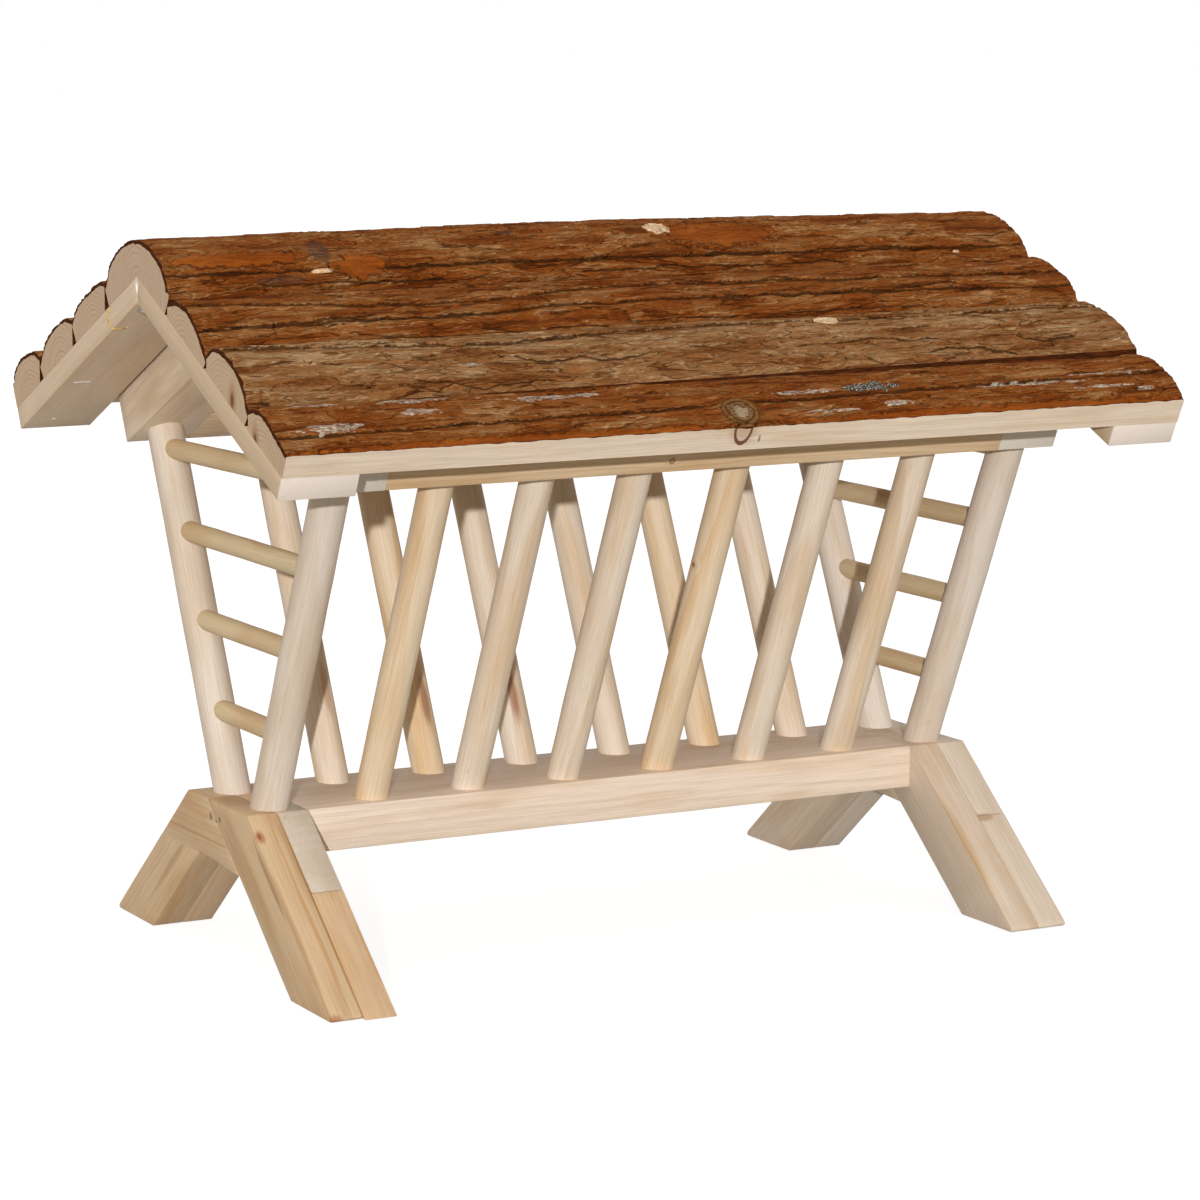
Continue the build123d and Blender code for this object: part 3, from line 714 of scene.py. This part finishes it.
def bark(name, palette, seed):
    """Bark: its plates run from red-brown to grey, with fine flakes and fibres; its cracks are dark with
    their own colour and with painted shade, and its flake edges carry painted shadow and highlight.
    """
    f = Finish(name, gloss=0.04)
    shades = {}
    for shade in shade_names:
        shades[shade] = f.node("ShaderNodeAttribute", {"attribute_name": shade}, {}, out="Fac")
    x = f.node("ShaderNodeSeparateXYZ", {}, {0: f.place}, out="X") * 1000
    flat = f.node("ShaderNodeCombineXYZ", {}, {"X": x, "Y": shades["across"], "Z": seed * 31.0})
    slow = f.streaks(flat, (1 / 16, 1 / 6, 1), out="Color")
    bent = f.moved(flat, f.scaled(f.moved(slow, (-0.5, -0.5, -0.5)), (6, 4.5, 0)))
    # Terraces: each level of this noise is one thin flake lying on the next, with painted shadow under its
    # edge and a painted highlight on the lip just above it.
    height, flake_shadows, level = None, None, shades["tone"] * 0.5
    broad, small = ((1 / 44, 1 / 5.2, 1), 7.0, 0.6, 1.6), ((1 / 16, 1 / 2.0, 1), 5.0, 0.3, 3.0)
    for size, steps, deep, detail in (broad, small):
        rise = f.streaks(bent, size, detail) * steps
        rest = rise.part()
        rim = rest.ease(0.0, 0.14, 1.0, 0.0)
        flake = f.node("ShaderNodeTexWhiteNoise", {"noise_dimensions": "1D"}, {"W": rise - rest}, out="Value")
        level = level + (flake - 0.5) * deep * 0.62
        terrace = (rise - rest + rest.ease(0.0, 0.16)) * deep
        # Painted highlight: a pale line along each flake's lip, just past the painted shadow.
        level = level + rest.ease(0.14, 0.2) * rest.ease(0.24, 0.4, 1.0, 0.0) * 0.22
        height = terrace if height is None else height + terrace
        flake_shadows = rim if flake_shadows is None else flake_shadows.most(rim * 0.55)
    streak = f.streaks(bent, (1 / 9, 1 / 0.75, 1), 4.0, 0.65)
    fine = f.streaks(bent, (1 / 1.8, 1 / 0.5, 1), 3.0, 0.7)
    blotch = f.streaks(flat, (1 / 34, 1 / 11, 1), 3.0, 0.6)
    grain = f.streaks(flat, (1 / 1.1, 1 / 0.8, 1), 2.0, 0.6)

    def frayed(value, by_fine, by_streak):
        """A number made uneven by the fine noise and by the streaks."""
        return value + (fine - 0.5) * by_fine + (streak - 0.5) * by_streak

    level = level + 0.14 + (streak - 0.5) * 0.65 + (blotch - 0.5) * 0.8 + (fine - 0.5) * 0.3
    stops = list(zip((0.0, 0.26, 0.48, 0.7, 1.0), palette))
    colour = f.node("ShaderNodeValToRGB", {"stops": stops}, {"Fac": level}, out="Color")
    smooth, crust, knot, chip = [shades[kind] for kind in ("smooth", "crust", "knot", "chip")]
    bare = f.mix((158, 79, 20), (126, 59, 16), streak.ease(0.35, 0.65))
    bare = f.mix(bare, (178, 98, 30), blotch.ease(0.45, 0.7, 0.0, 0.7))
    colour = f.mix(colour, bare, smooth * 0.85)
    colour = f.shade(colour, fine.ease(0.3, 0.7, 0.8, 1.1))
    # Painted shadow: dark under the edge of each flake, weaker where the bark is smooth.
    colour = f.mix(colour, (58, 34, 14), flake_shadows * blotch.ease(0.65, 0.4, 0.25, 0.68) * (1 - smooth * 0.8))
    # Cracks: the bark's dark fissure colour together with painted shade in them.
    colour = f.mix(colour, (58, 34, 15), frayed(shades["crack"], 0.9, 0.6).ease(0.48, 0.95) * 0.82)
    pale = f.mix((222, 214, 202), (150, 132, 106), fine.ease(0.56, 0.42))
    worn = crust * 0.75 - 0.1 + (streak - 0.5) * 3.2 + (fine - 0.5) * 1.4
    colour = f.mix(colour, pale, worn.ease(0.15, 1.0) * crust.ease(0.05, 0.6) * 0.85)
    moss = f.mix((58, 62, 54), (196, 198, 192), grain.ease(0.5, 0.62))
    colour = f.mix(colour, moss, (shades["lichen"] + (streak - 0.5) * 2.4).ease(0.35, 0.7) * 0.85)
    colour = f.mix(colour, (72, 56, 50), shades["bruise"] * streak.ease(0.35, 0.6, 0.2, 0.8))
    turn = f.node("ShaderNodeMath", {"operation": "SINE"}, {0: frayed(knot * 34, 9, 6)})
    swirl = f.mix((82, 54, 26), (140, 104, 66), turn.ease(-0.8, 0.8))
    swirl = f.mix(swirl, (178, 158, 130), frayed(knot, 0.9, 0.4).ease(0.66, 0.8))
    colour = f.mix(colour, swirl, (knot + (fine - 0.5) * 0.2).ease(0.1, 0.5, 0.0, 0.85))
    inner = f.mix((252, 230, 200), (216, 168, 120), fine.ease(0.4, 0.58))
    colour = f.mix(colour, (170, 104, 52), chip.ease(0.05, 0.4) * 0.8)
    colour = f.mix(colour, inner, chip.ease(0.4, 0.6))
    relief = streak * 0.5 + fine * 0.35 + height * (1 - smooth * 0.7)
    return f.close(colour, fine.ease(0.3, 0.7, 0.66, 0.88), relief, 1.5)


def end_grain(name, pale, line, pith, ring=1.9, knots=()):
    """Sawn end of a pine log: rings round the pith (y, z), fine rays and pores, darker than the sides."""
    f = Finish(name, gloss=0.2)
    flat = f.scaled(f.moved(f.scaled(f.place, to_mm), (0, -pith[0], -pith[1])), (0, 1, 1))
    slow = f.streaks(flat, (1 / 9, 1 / 9, 1 / 9))
    turns = (f.distance(flat) + (slow - 0.5) * 3.0) / ring
    late = turns.part().ease(0.35, 0.9) * turns.part().ease(0.93, 1.0, 1.0, 0.0)
    strength = f.cloud(f.node("ShaderNodeCombineXYZ", {}, {"X": turns * 0.6, "Y": pith[0]}), 1.0)
    saw = f.streaks(flat, (1, 0.25, 2.2), 3.0, 0.6)
    pores = f.streaks(flat, (1, 3, 3), 2.0, 0.6)
    colour = f.mix(pale, line, late * strength.ease(0.3, 0.65, 0.25, 0.9))
    colour = f.shade(colour, (saw * 0.6 + pores * 0.4).ease(0.3, 0.7, 0.93, 1.06))
    for centre, half in knots:
        offset = f.moved(f.scaled(f.place, (0, 1000, 1000)), (0, -centre[0], -centre[1]))
        reach = f.distance(f.scaled(offset, (0, 1, 0.55))) + (pores - 0.5) * 1.6
        colour = f.mix(colour, (178, 138, 100), reach.ease(half * 0.9, half * 1.9, 0.7, 0.0))
        colour = f.mix(colour, (104, 66, 40), reach.ease(half * 0.3, half * 0.9, 0.9, 0.0))
    return f.close(colour, saw.ease(0.3, 0.7, 0.7, 0.85), saw * 0.7 + pores * 0.3, 0.2)


def bark_edge_and_seam_shade(name):
    """Sawn edge of the bark: dark red-brown, layered along its length. It also covers the sawn wood walls in
    the seams between slabs, as painted shade in the gaps.
    """
    f = Finish(name, gloss=0.04)
    layered = f.streaks(f.scaled(f.place, to_mm), (1 / 8, 1.8, 1.8), 3.0, 0.6)
    colour = f.mix((88, 43, 18), (48, 24, 10), layered.ease(0.35, 0.65))
    return f.close(colour, layered.ease(0.3, 0.7, 0.7, 0.85), layered, 0.4)


def half_log(sections, floors, rows, seed, main, splits, marks, edge_thick):
    """A slab with a bark top: a fine grid laid over its rounded top, then drawn down to its sawn faces.

    The sections and floors lie at even steps from left to right, main and splits are the bark's cracks, and
    edge_thick is how thick the bark is at its upper and lower edge.
    """
    columns = slab_columns
    bm = bmesh.new()
    bmesh.ops.create_grid(bm, x_segments=columns, y_segments=rows, size=1.0)
    layers_of = [bm.verts.layers.float.new(shade) for shade in shade_names]
    at_column, at_row = bm.verts.layers.int.new("column"), bm.verts.layers.int.new("row")
    drawn = [smooth_line(section, rows) for section in sections]
    span = drawn[1][1]

    def x_at(column):
        return (column / columns * 2 - 1) * roof_half_x

    def step_at(column):
        """The last section before this column, and how far on from it the column lies."""
        part = column / columns * (len(sections) - 1)
        low = min(int(part), len(sections) - 2)
        return low, part - low

    cracks = []
    for shares in main:
        points = [(roof_half_x * (2 * i / (len(shares) - 1) - 1), share) for i, share in enumerate(shares)]
        cracks.append((points, furrow_deep, furrow_wide))
    cracks += [(points, split_deep, split_wide) for points in splits]
    lines_at = []
    for column in range(columns + 1):
        x = x_at(column)
        lines = []
        for number, (points, depth, wide) in enumerate(cracks):
            share, from_end = line_at(points, min(max(x, -roof_half_x + 0.01), roof_half_x - 0.01))
            if share is None:
                continue
            meander = noise.noise((x / 11, number * 7.7, seed)) * 1.3
            meander += noise.noise((x / 3.2, number * 5.1, seed)) * 0.5
            strong = 0.75 + 0.6 * noise.noise((x / 24, number * 3.3, seed + 9))
            fade = 1.0 if number < len(main) else eased(0.0, 6.0, from_end)
            lip = 1 if (number + int(seed)) % 3 else -1
            lines.append((share * span + meander, depth, wide, fade * min(strong + 0.2, 1.0), lip))
        lines_at.append(lines)

    def section_at(column, row):
        low, share = step_at(column)
        return drawn[low][0][row].lerp(drawn[low + 1][0][row], share)

    def top_at(column, row):
        """The point (y, z) on the rounded top, and the way out from it."""
        along = section_at(column, min(row + 1, rows)) - section_at(column, max(row - 1, 0))
        outward = Vector((-along.y, along.x)).normalized()
        return section_at(column, row), outward if outward.y > 0 else -outward

    for vert in bm.verts:
        column, row = round((vert.co.x + 1) / 2 * columns), round((vert.co.y + 1) / 2 * rows)
        vert[at_column], vert[at_row] = column, row
        here, outward = top_at(column, row)
        x, across = x_at(column), row / rows * span
        height, shades = bark_relief(x, across, lines_at[column], seed, marks)
        side_in, end_in = min(row, rows - row) / rows * span, roof_half_x - abs(x)
        hold = min(eased(-1.0, 2.4, side_in), eased(-1.0, 1.6, end_in))
        height = height * hold - 0.3 * (1 - hold)
        broken = abs(noise.noise((across / 4, x / 9, seed + 61))) * 1.6 * (1 - eased(0.0, 2.0, end_in))
        x -= broken * (1 if x > 0 else -1)
        vert.co = Vector((x, here.x + outward.x * height, here.y + outward.y * height)) * MM
        for layer_of, shade in zip(layers_of, shades):
            vert[layer_of] = shade
    rim = [edge for edge in bm.edges if edge.is_boundary]
    for drop in ("bark", "floor"):
        ring = bmesh.ops.extrude_edge_only(bm, edges=rim)["geom"]
        rim = [part for part in ring if isinstance(part, bmesh.types.BMEdge) and part.is_boundary]
        for face in ring:
            if isinstance(face, bmesh.types.BMFace):
                places = {vert[at_column] for vert in face.verts}
                is_end = len(places) == 1 and places <= {0, columns}
                sides_of = {vert[at_row] for vert in face.verts}
                # In the seams between slabs the sawn wood wall below the bark takes the dark bark-edge finish
                # too: painted shade in the gap.
                is_shaded_seam = sides_of == {0} or (sides_of == {rows} and edge_thick[1] > 1)
                face.material_index = 1 if drop == "bark" or is_shaded_seam else 3 if is_end else 2
        for vert in ring:
            if not isinstance(vert, bmesh.types.BMVert):
                continue
            column, row = vert[at_column], vert[at_row]
            here, outward = top_at(column, row)
            x = x_at(column)
            low, share = step_at(column)
            y0, y1 = [a + (b - a) * share for a, b in zip(floors[low], floors[low + 1])]
            y_in = min(max(here.x, min(y0, y1)), max(y0, y1))
            z_floor = apex_z - abs(y_in) * sa / ca
            if drop == "bark":
                thick = {0: edge_thick[0], rows: edge_thick[1]}.get(row, bark_thick)
                if row == rows:
                    for knot_x, _, size in marks.get("knot", ()):
                        thick += 0.4 * (1 - eased(0.0, size, abs(x - knot_x)))
                thick += noise.noise((x / 6, row / 5, seed + 71)) * 0.5
                thick = min(max(thick, 0.3), (here.y - z_floor) * 0.5)
                if row in (0, rows):
                    outward = Vector((0, 1))
                vert.co = Vector((x, here.x - outward.x * thick, here.y - outward.y * thick)) * MM
            else:
                vert.co = Vector((x, y_in, z_floor)) * MM
    fold = []
    if min(floors[0]) < -1 and max(floors[0]) > 1:
        low_verts = list({vert for edge in rim for vert in edge.verts})
        for column in (0, columns):
            ends_here = [vert for vert in low_verts if vert[at_column] == column]
            middle = min(ends_here, key=lambda vert: abs(vert.co.y))
            middle.co = Vector((middle.co.x, 0, apex_z * MM))
            fold.append(middle)
    for face in bmesh.ops.contextual_create(bm, geom=rim)["faces"]:
        face.material_index = 2
    if fold:
        bmesh.ops.connect_verts(bm, verts=fold)
    bm.verts.layers.int.remove(at_column)
    bm.verts.layers.int.remove(bm.verts.layers.int["row"])
    return bm


splits = {
    "front_bark_slab_1": [
        [(-236, 0.37), (-217, 0.36), (-190, 0.37), (-165, 0.39), (-150, 0.42), (-141, 0.5), (-122, 0.55)],
        [(-97, 0.38), (-86, 0.34), (-70, 0.37), (-60, 0.33), (-45, 0.3), (-30, 0.27), (-22, 0.2)],
        [(-230, 0.7), (-214, 0.71), (-200, 0.72), (-186, 0.7), (-165, 0.69), (-143, 0.68)],
        [(-105, 0.6), (-82, 0.62), (-62, 0.65), (-47, 0.67), (-40, 0.72), (-28, 0.75)],
        [(10, 0.34), (20, 0.32), (30, 0.38), (45, 0.45), (57, 0.43), (70, 0.39), (88, 0.45), (104, 0.5)],
        [(105, 0.68), (120, 0.72), (140, 0.69), (165, 0.66), (175, 0.7), (188, 0.78), (196, 0.8)],
        [(-150, 0.94), (-120, 0.96), (-80, 0.95), (-40, 0.94), (0, 0.91), (40, 0.93), (80, 0.92)]
        + [(150, 0.93)],
        [(130, 0.2), (150, 0.24), (175, 0.19), (200, 0.22), (225, 0.2)],
    ],
    "front_bark_slab_2": [
        [(-236, 0.2), (-218, 0.26), (-200, 0.28), (-185, 0.27), (-165, 0.3), (-150, 0.32), (-140, 0.38)]
        + [(-125, 0.42)],
        [(-112, 0.47), (-100, 0.42), (-80, 0.42), (-68, 0.4), (-55, 0.35), (-35, 0.34), (-15, 0.3)],
        [(-225, 0.6), (-212, 0.56), (-200, 0.57), (-190, 0.65), (-170, 0.62), (-150, 0.62), (-132, 0.64)],
        [(-112, 0.55), (-104, 0.63), (-95, 0.7), (-80, 0.72), (-66, 0.71), (-56, 0.76), (-42, 0.75)]
        + [(-28, 0.71)],
        [(45, 0.73), (58, 0.7), (72, 0.72), (90, 0.69), (104, 0.71), (118, 0.72), (132, 0.73)],
        [(118, 0.53), (130, 0.51), (145, 0.55), (160, 0.55), (167, 0.63), (176, 0.62), (182, 0.56)]
        + [(196, 0.61)],
        [(166, 0.68), (176, 0.8), (190, 0.82), (203, 0.8), (212, 0.7)],
        [(115, 0.88), (130, 0.85), (145, 0.86), (158, 0.93), (170, 0.97)],
        [(-156, 0.83), (-140, 0.9), (-118, 0.96), (-100, 0.94), (-80, 0.93)],
        [(97, 0.25), (103, 0.3), (115, 0.36), (130, 0.34)],
        [(180, 0.13), (205, 0.16), (225, 0.2), (236, 0.23)],
    ],
    "front_bark_slab_3": [
        [(-125, 0.3), (-110, 0.26), (-90, 0.27), (-70, 0.3)],
        [(45, 0.31), (60, 0.36), (70, 0.4)],
        [(-50, 0.34), (-42, 0.37), (-35, 0.41)],
        [(88, 0.3), (98, 0.29), (112, 0.28)],
    ],
}
marks_of = {
    "front_bark_slab_1": {
        "grey": [(-65, 22, 33, 3.5), (-190, 22, 34, 5), (40, 28, 24, 4), (120, 25, 26, 3), (-170, 38, 40, 3)],
    },
    "front_bark_slab_2": {
        "chip": [(77, 18.0, 6.8, 5.0)],
        "crust": [(-125, 40.5, 8.5, 1.1)],
        "grey": [(-150, 16, 86, 6), (180, 18, 58, 9), (20, 30, 60, 9), (-80, 26, 50, 7), (-190, 30, 40, 5)],
    },
    "front_bark_slab_3": {
        "crust": [(-208, 30.6, 15, 3.6), (-163, 11.5, 17, 3.2), (-164, 22, 11, 2.4), (-208, 8, 13, 3.0)]
        + [(-94, 16.7, 24, 2.4), (32, 25.5, 19, 1.6), (76, 37.8, 11, 1.6), (40, 40, 19, 0.9)]
        + [(155, 30, 35, 1.7), (200, 25.5, 22, 1.2), (196, 35.5, 16, 1.2), (217, 38, 6, 1.5)],
        "grey": [(-30, 13.5, 14, 4.5), (97, 20, 14, 5), (-87, 35, 5, 2.3), (-130, 27, 16, 6)]
        + [(160, 20, 30, 5)],
        "lichen": [(67, 24.5, 16, 3.8)],
        "smooth": [(-120, 46, 130, 4.0), (120, 46, 130, 4.0)],
        "knot": [(-8, 37.5, 9)],
    },
}
reddish = [(80, 39, 10), (118, 57, 16), (138, 74, 26), (146, 90, 44), (176, 134, 90)]
brownish = [(94, 53, 24), (130, 78, 38), (146, 96, 54), (158, 116, 76), (188, 154, 114)]
edge_and_seam_shade = bark_edge_and_seam_shade("bark_edge_and_seam_shade")
end_knots = {"front_bark_slab_2": [((-110.6, 282.0), 3.2)], "front_bark_slab_3": [((-135.5, 266.8), 3.0)]}
for slab_name, (left_top, right_top) in slab_tops.items():
    side_name, number = slab_name.split("_")[0], int(slab_name[-1])
    side = sides[side_name]
    sections, floors = [], []
    for share in (0.0, 0.5, 1.0):
        s0, s1 = [left + (right - left) * share for left, right in seams[side_name][number - 1 : number + 1]]
        s0, s1 = s0 + slab_gap, s1 - (slab_gap if number < 3 else 0)
        top = []
        for (across0, up0), (across1, up1) in zip(left_top, right_top):
            across, up = across0 + (across1 - across0) * share, up0 + (up1 - up0) * share
            top.append(at(side, s0 + (s1 - s0) * across, slab_h * up))
        sections.append(top)
        floors.append((at(side, s0, 0)[0], at(side, s1, 0)[0]))
    seed = number * 7.3 + (0 if side < 0 else 41)
    edge_thick = (upper_thick, seam_thick if number < 3 else fascia_thick)
    bm = half_log(
        sections, floors, slab_rows, seed, furrows[slab_name],
        splits.get(slab_name, ()), marks_of.get(slab_name, {}), edge_thick,
    )
    palette = brownish if number == 2 else reddish
    top = bark(slab_name + "_bark", palette, number + 3 * side + 4)
    centre = at(side, (seams[side_name][number - 1][0] + seams[side_name][number][0]) / 2, -7)
    stains = []
    if slab_name == "front_bark_slab_3":
        edge_y, edge_z = at(side, roof_end_s, slab_h * 0.5)
        stains = [
            ((0, edge_y, edge_z - 4), (2.0, 9, 0.8), umber, 0.8),
            ((-9, edge_y, edge_z), (8, 9, 9), rust, 0.3),
            ((-9.5, edge_y, edge_z + 1), (7.0, 9, 4.2), (96, 52, 24), 0.95, 0.2),
        ]
    wood = pine(
        slab_name + "_pine", (231, 213, 193), (216, 192, 162), along_x, (0, *at(side, 100, -60)),
        ring=3.4, figure=0.4, seed=number + side, stains=stains,
    )
    knots = end_knots.get(slab_name, ())
    ends_wood = end_grain(slab_name + "_end", (204, 178, 150), (182, 154, 124), centre, ring=2.3, knots=knots)
    finishes = [top, edge_and_seam_shade, wood, ends_wood]
    piece(slab_name + "_log", bm, finishes, "roof", [slab_name], sharp_deg=50)

# Ridge slab: the outside of a fatter log with its bark left on. A V is sawn out of its underside, so that
# it sits over the tops of both slopes.
ridge_h = 18.6
ridge_furrows = [[0.12, 0.11, 0.09], [0.36, 0.4, 0.34], [0.62, 0.6, 0.64], [0.84, 0.86, 0.82]]
ridge_tops = [
    (0.403, 0.565, [(-1.077, -0.134), (-0.919, 0.274), (-0.673, 0.591), (-0.371, 0.806), (-0.036, 0.892)]
     + [(0.318, 0.817), (0.602, 0.624), (0.819, 0.382), (1.009, 0.054)]),
    (0.511, 0.581, [(-1.06, 0.032), (-0.857, 0.398), (-0.567, 0.699), (-0.24, 0.919), (0.069, 1)]
     + [(0.395, 0.909), (0.671, 0.677), (0.893, 0.366), (1.054, 0.054)]),
    (0.581, 0.591, [(-1.01, 0.07), (-0.77, 0.409), (-0.449, 0.667), (-0.096, 0.839), (0.179, 0.882)]
     + [(0.477, 0.801), (0.746, 0.586), (0.969, 0.274), (1.088, 0.022)]),
]
ridge_splits = [
    [(-195, 0.045), (-172, 0.04), (-150, 0.04), (-120, 0.03), (-90, 0.03)],
    [(-110, 0.1), (-100, 0.13), (-85, 0.145), (-72, 0.13), (-55, 0.11), (-35, 0.1), (-10, 0.1)],
    [(-95, 0.27), (-80, 0.24), (-68, 0.23)],
    [(-190, 0.42), (-150, 0.4), (-100, 0.41), (-60, 0.42), (-30, 0.41)],
    [(-25, 0.035), (5, 0.03), (25, 0.04), (50, 0.03), (90, 0.025), (130, 0.03)],
    [(40, 0.11), (60, 0.12), (80, 0.1), (100, 0.08), (115, 0.11), (135, 0.12), (155, 0.11), (175, 0.08)],
    [(98, 0.31), (115, 0.33), (140, 0.33), (155, 0.36)],
    [(-20, 0.36), (-5, 0.33), (15, 0.28)],
    [(190, 0.2), (215, 0.17), (234, 0.2)],
]
ridge_marks = {
    "smooth": [(-200, 19.5, 40, 5.5), (-137, 12.5, 15, 7.5), (62, 26, 34, 13)],
    "chip": [(31, 33, 7, 7), (193, 5.5, 1.8, 1.1), (-157, 10.2, 6, 1.2)],
    "bruise": [(-155, 24, 6, 9), (-52, 34, 5, 3), (-178, 6.5, 14, 2.0)],
    "grey": [(-85, 19, 28, 4), (150, 28, 50, 12), (-50, 16, 30, 3), (-20, 8, 16, 3.5), (215, 16, 22, 5)],
}
sections, floors = [], []
for place, (up_front, up_back, rises) in enumerate(ridge_tops):
    first_seams = [seams[side_name][0] for side_name in sides]
    s_front, s_back = [(left * (2 - place) + right * place) / 2 for left, right in first_seams]
    over = []
    for across, up in rises:
        over.append(((s_front if across < 0 else s_back) * ca * across, apex_z + ridge_h * up))
    s_front, s_back = s_front - slab_gap, s_back - slab_gap
    sections.append([at(-1, s_front, ridge_h * up_front), *over, at(1, s_back, ridge_h * up_back)])
    floors.append((at(-1, s_front, 0)[0], at(1, s_back, 0)[0]))
edge_thick = (upper_thick, upper_thick)
ridge_seed = 63.0
bm = half_log(sections, floors, ridge_rows, ridge_seed, ridge_furrows, ridge_splits, ridge_marks, edge_thick)
top = bark("ridge_bark", reddish, 17)
wood = pine(
    "ridge_pine", (234, 218, 198), (218, 196, 168), along_x, (0, 4, apex_z - 6), ring=3.0, figure=0.45, seed=9
)
ends_wood = end_grain("ridge_end", (203, 176, 152), (184, 156, 130), (0, apex_z - 4), ring=3.0)
finishes = [top, edge_and_seam_shade, wood, ends_wood]
piece("ridge_slab_log", bm, finishes, "roof", ["ridge_slab"], sharp_deg=50)

# Nails, staples and the wire: dull wire nails through the trestles, bright staples shot in from below, and
# one bent brass wire at the back of the left gable.


def metal(name, bright, dull, size):
    """Drawn metal wire with handling marks."""
    f = Finish(name)
    local = f.scaled(f.place, (1000 / size,) * 3)
    marks = f.cloud(local, 3.0, 0.6)
    fine = f.streaks(local, (6, 6, 6))
    f.shader.inputs["Metallic"].default_value = 1.0
    return f.close(f.mix(bright, dull, marks.ease(0.4, 0.7)), marks.ease(0.3, 0.7, 0.25, 0.5), fine, 0.03)


fastenings = [
    (metal("steel", (206, 206, 204), (150, 146, 140), 1.5), ["left_staples", "right_staples"]),
    (metal("nail_steel", (150, 118, 92), (92, 62, 42), 1.0), ["left_nails", "right_nails"]),
    (metal("brass", (220, 184, 104), (150, 116, 58), 1.2), ["brass_wire"]),
]
for finish, nodes in fastenings:
    for node in nodes:
        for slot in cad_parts[node].material_slots:
            slot.material = finish

# Floor, light and camera: a pale floor in plain studio light, with the key light low at the front. The
# camera sees floor and world as white, while what they throw on the object is a soft warm fill.


def background_share(nodes):
    """1 where floor or world is looked at, straight or in a gloss, and 0 where it lights the object."""
    kinds = ("Is Camera Ray", "Is Glossy Ray", "Is Transmission Ray")
    looked, glossy, clear = [nodes.node("ShaderNodeLightPath", out=kind) for kind in kinds]
    return looked.most(glossy).most(clear)


f = Finish("floor_paper", gloss=0.0)
f.shader.inputs["Roughness"].default_value = 0.9
f.shader.inputs["Emission Strength"].default_value = 0.87
seen = background_share(f)
bounce = f.mix((158, 152, 142), (164, 158, 148), f.streaks(f.place, (300, 300, 300)))
glow = f.mix((0, 0, 0), (255, 255, 255), seen)
f.join(f.shader, {"Base Color": f.mix(bounce, (150, 150, 150), seen), "Emission Color": glow})
bm = bmesh.new()
bmesh.ops.create_grid(bm, x_segments=1, y_segments=1, size=6.0)
floor_mesh = bpy.data.meshes.new("floor")
bm.to_mesh(floor_mesh)
bm.free()
floor = bpy.data.objects.new("floor", floor_mesh)
bpy.context.scene.collection.objects.link(floor)
floor_mesh.materials.append(f.material)
floor.location.z = -0.0004

world = bpy.data.worlds.new("studio")
bpy.context.scene.world = world
sky = Nodes(world)
seen = background_share(sky)
upward = sky.node("ShaderNodeTexCoord", out="Generated")
height = sky.node("ShaderNodeSeparateXYZ", {}, {0: upward}, out="Z")
fill = sky.node("ShaderNodeMapRange", {}, {"Value": height, "To Min": 0.36, "To Max": 0.84})
strength = sky.node("ShaderNodeMapRange", {}, {"Value": seen, "To Min": fill, "To Max": 1.0})
warm_to_white = sky.mix((1, 0.945, 0.865, 1), (1, 1, 1, 1), seen)
sky.join(sky.tree.nodes["Background"], {"Strength": strength, "Color": warm_to_white})

key = bpy.data.lights.new("key", "SUN")
key.energy = 2.28
key.angle = radians(1.0)
key_lamp = bpy.data.objects.new("key", key)
key_azimuth, key_height = radians(-28), radians(10.6)
towards = Vector((sin(key_azimuth) * cos(key_height), -cos(key_azimuth) * cos(key_height), sin(key_height)))
key_lamp.rotation_euler = towards.to_track_quat("Z", "Y").to_euler()
key_lamp.location = towards * 3
bpy.context.scene.collection.objects.link(key_lamp)

lens = bpy.data.cameras.new("camera")
lens.lens, lens.sensor_width = 120.69, 36.0
lens.shift_x, lens.shift_y = 0.00156, -0.00088
looks_down, looks_right = 8.797, 28.177
camera = bpy.data.objects.new("camera", lens)
camera.location = (-0.9263, -1.7403, 0.4665)
camera.rotation_euler = (radians(90 - looks_down), 0, radians(-looks_right))
bpy.context.scene.collection.objects.link(camera)
bpy.context.scene.camera = camera
bpy.context.scene.view_settings.view_transform = "Standard"
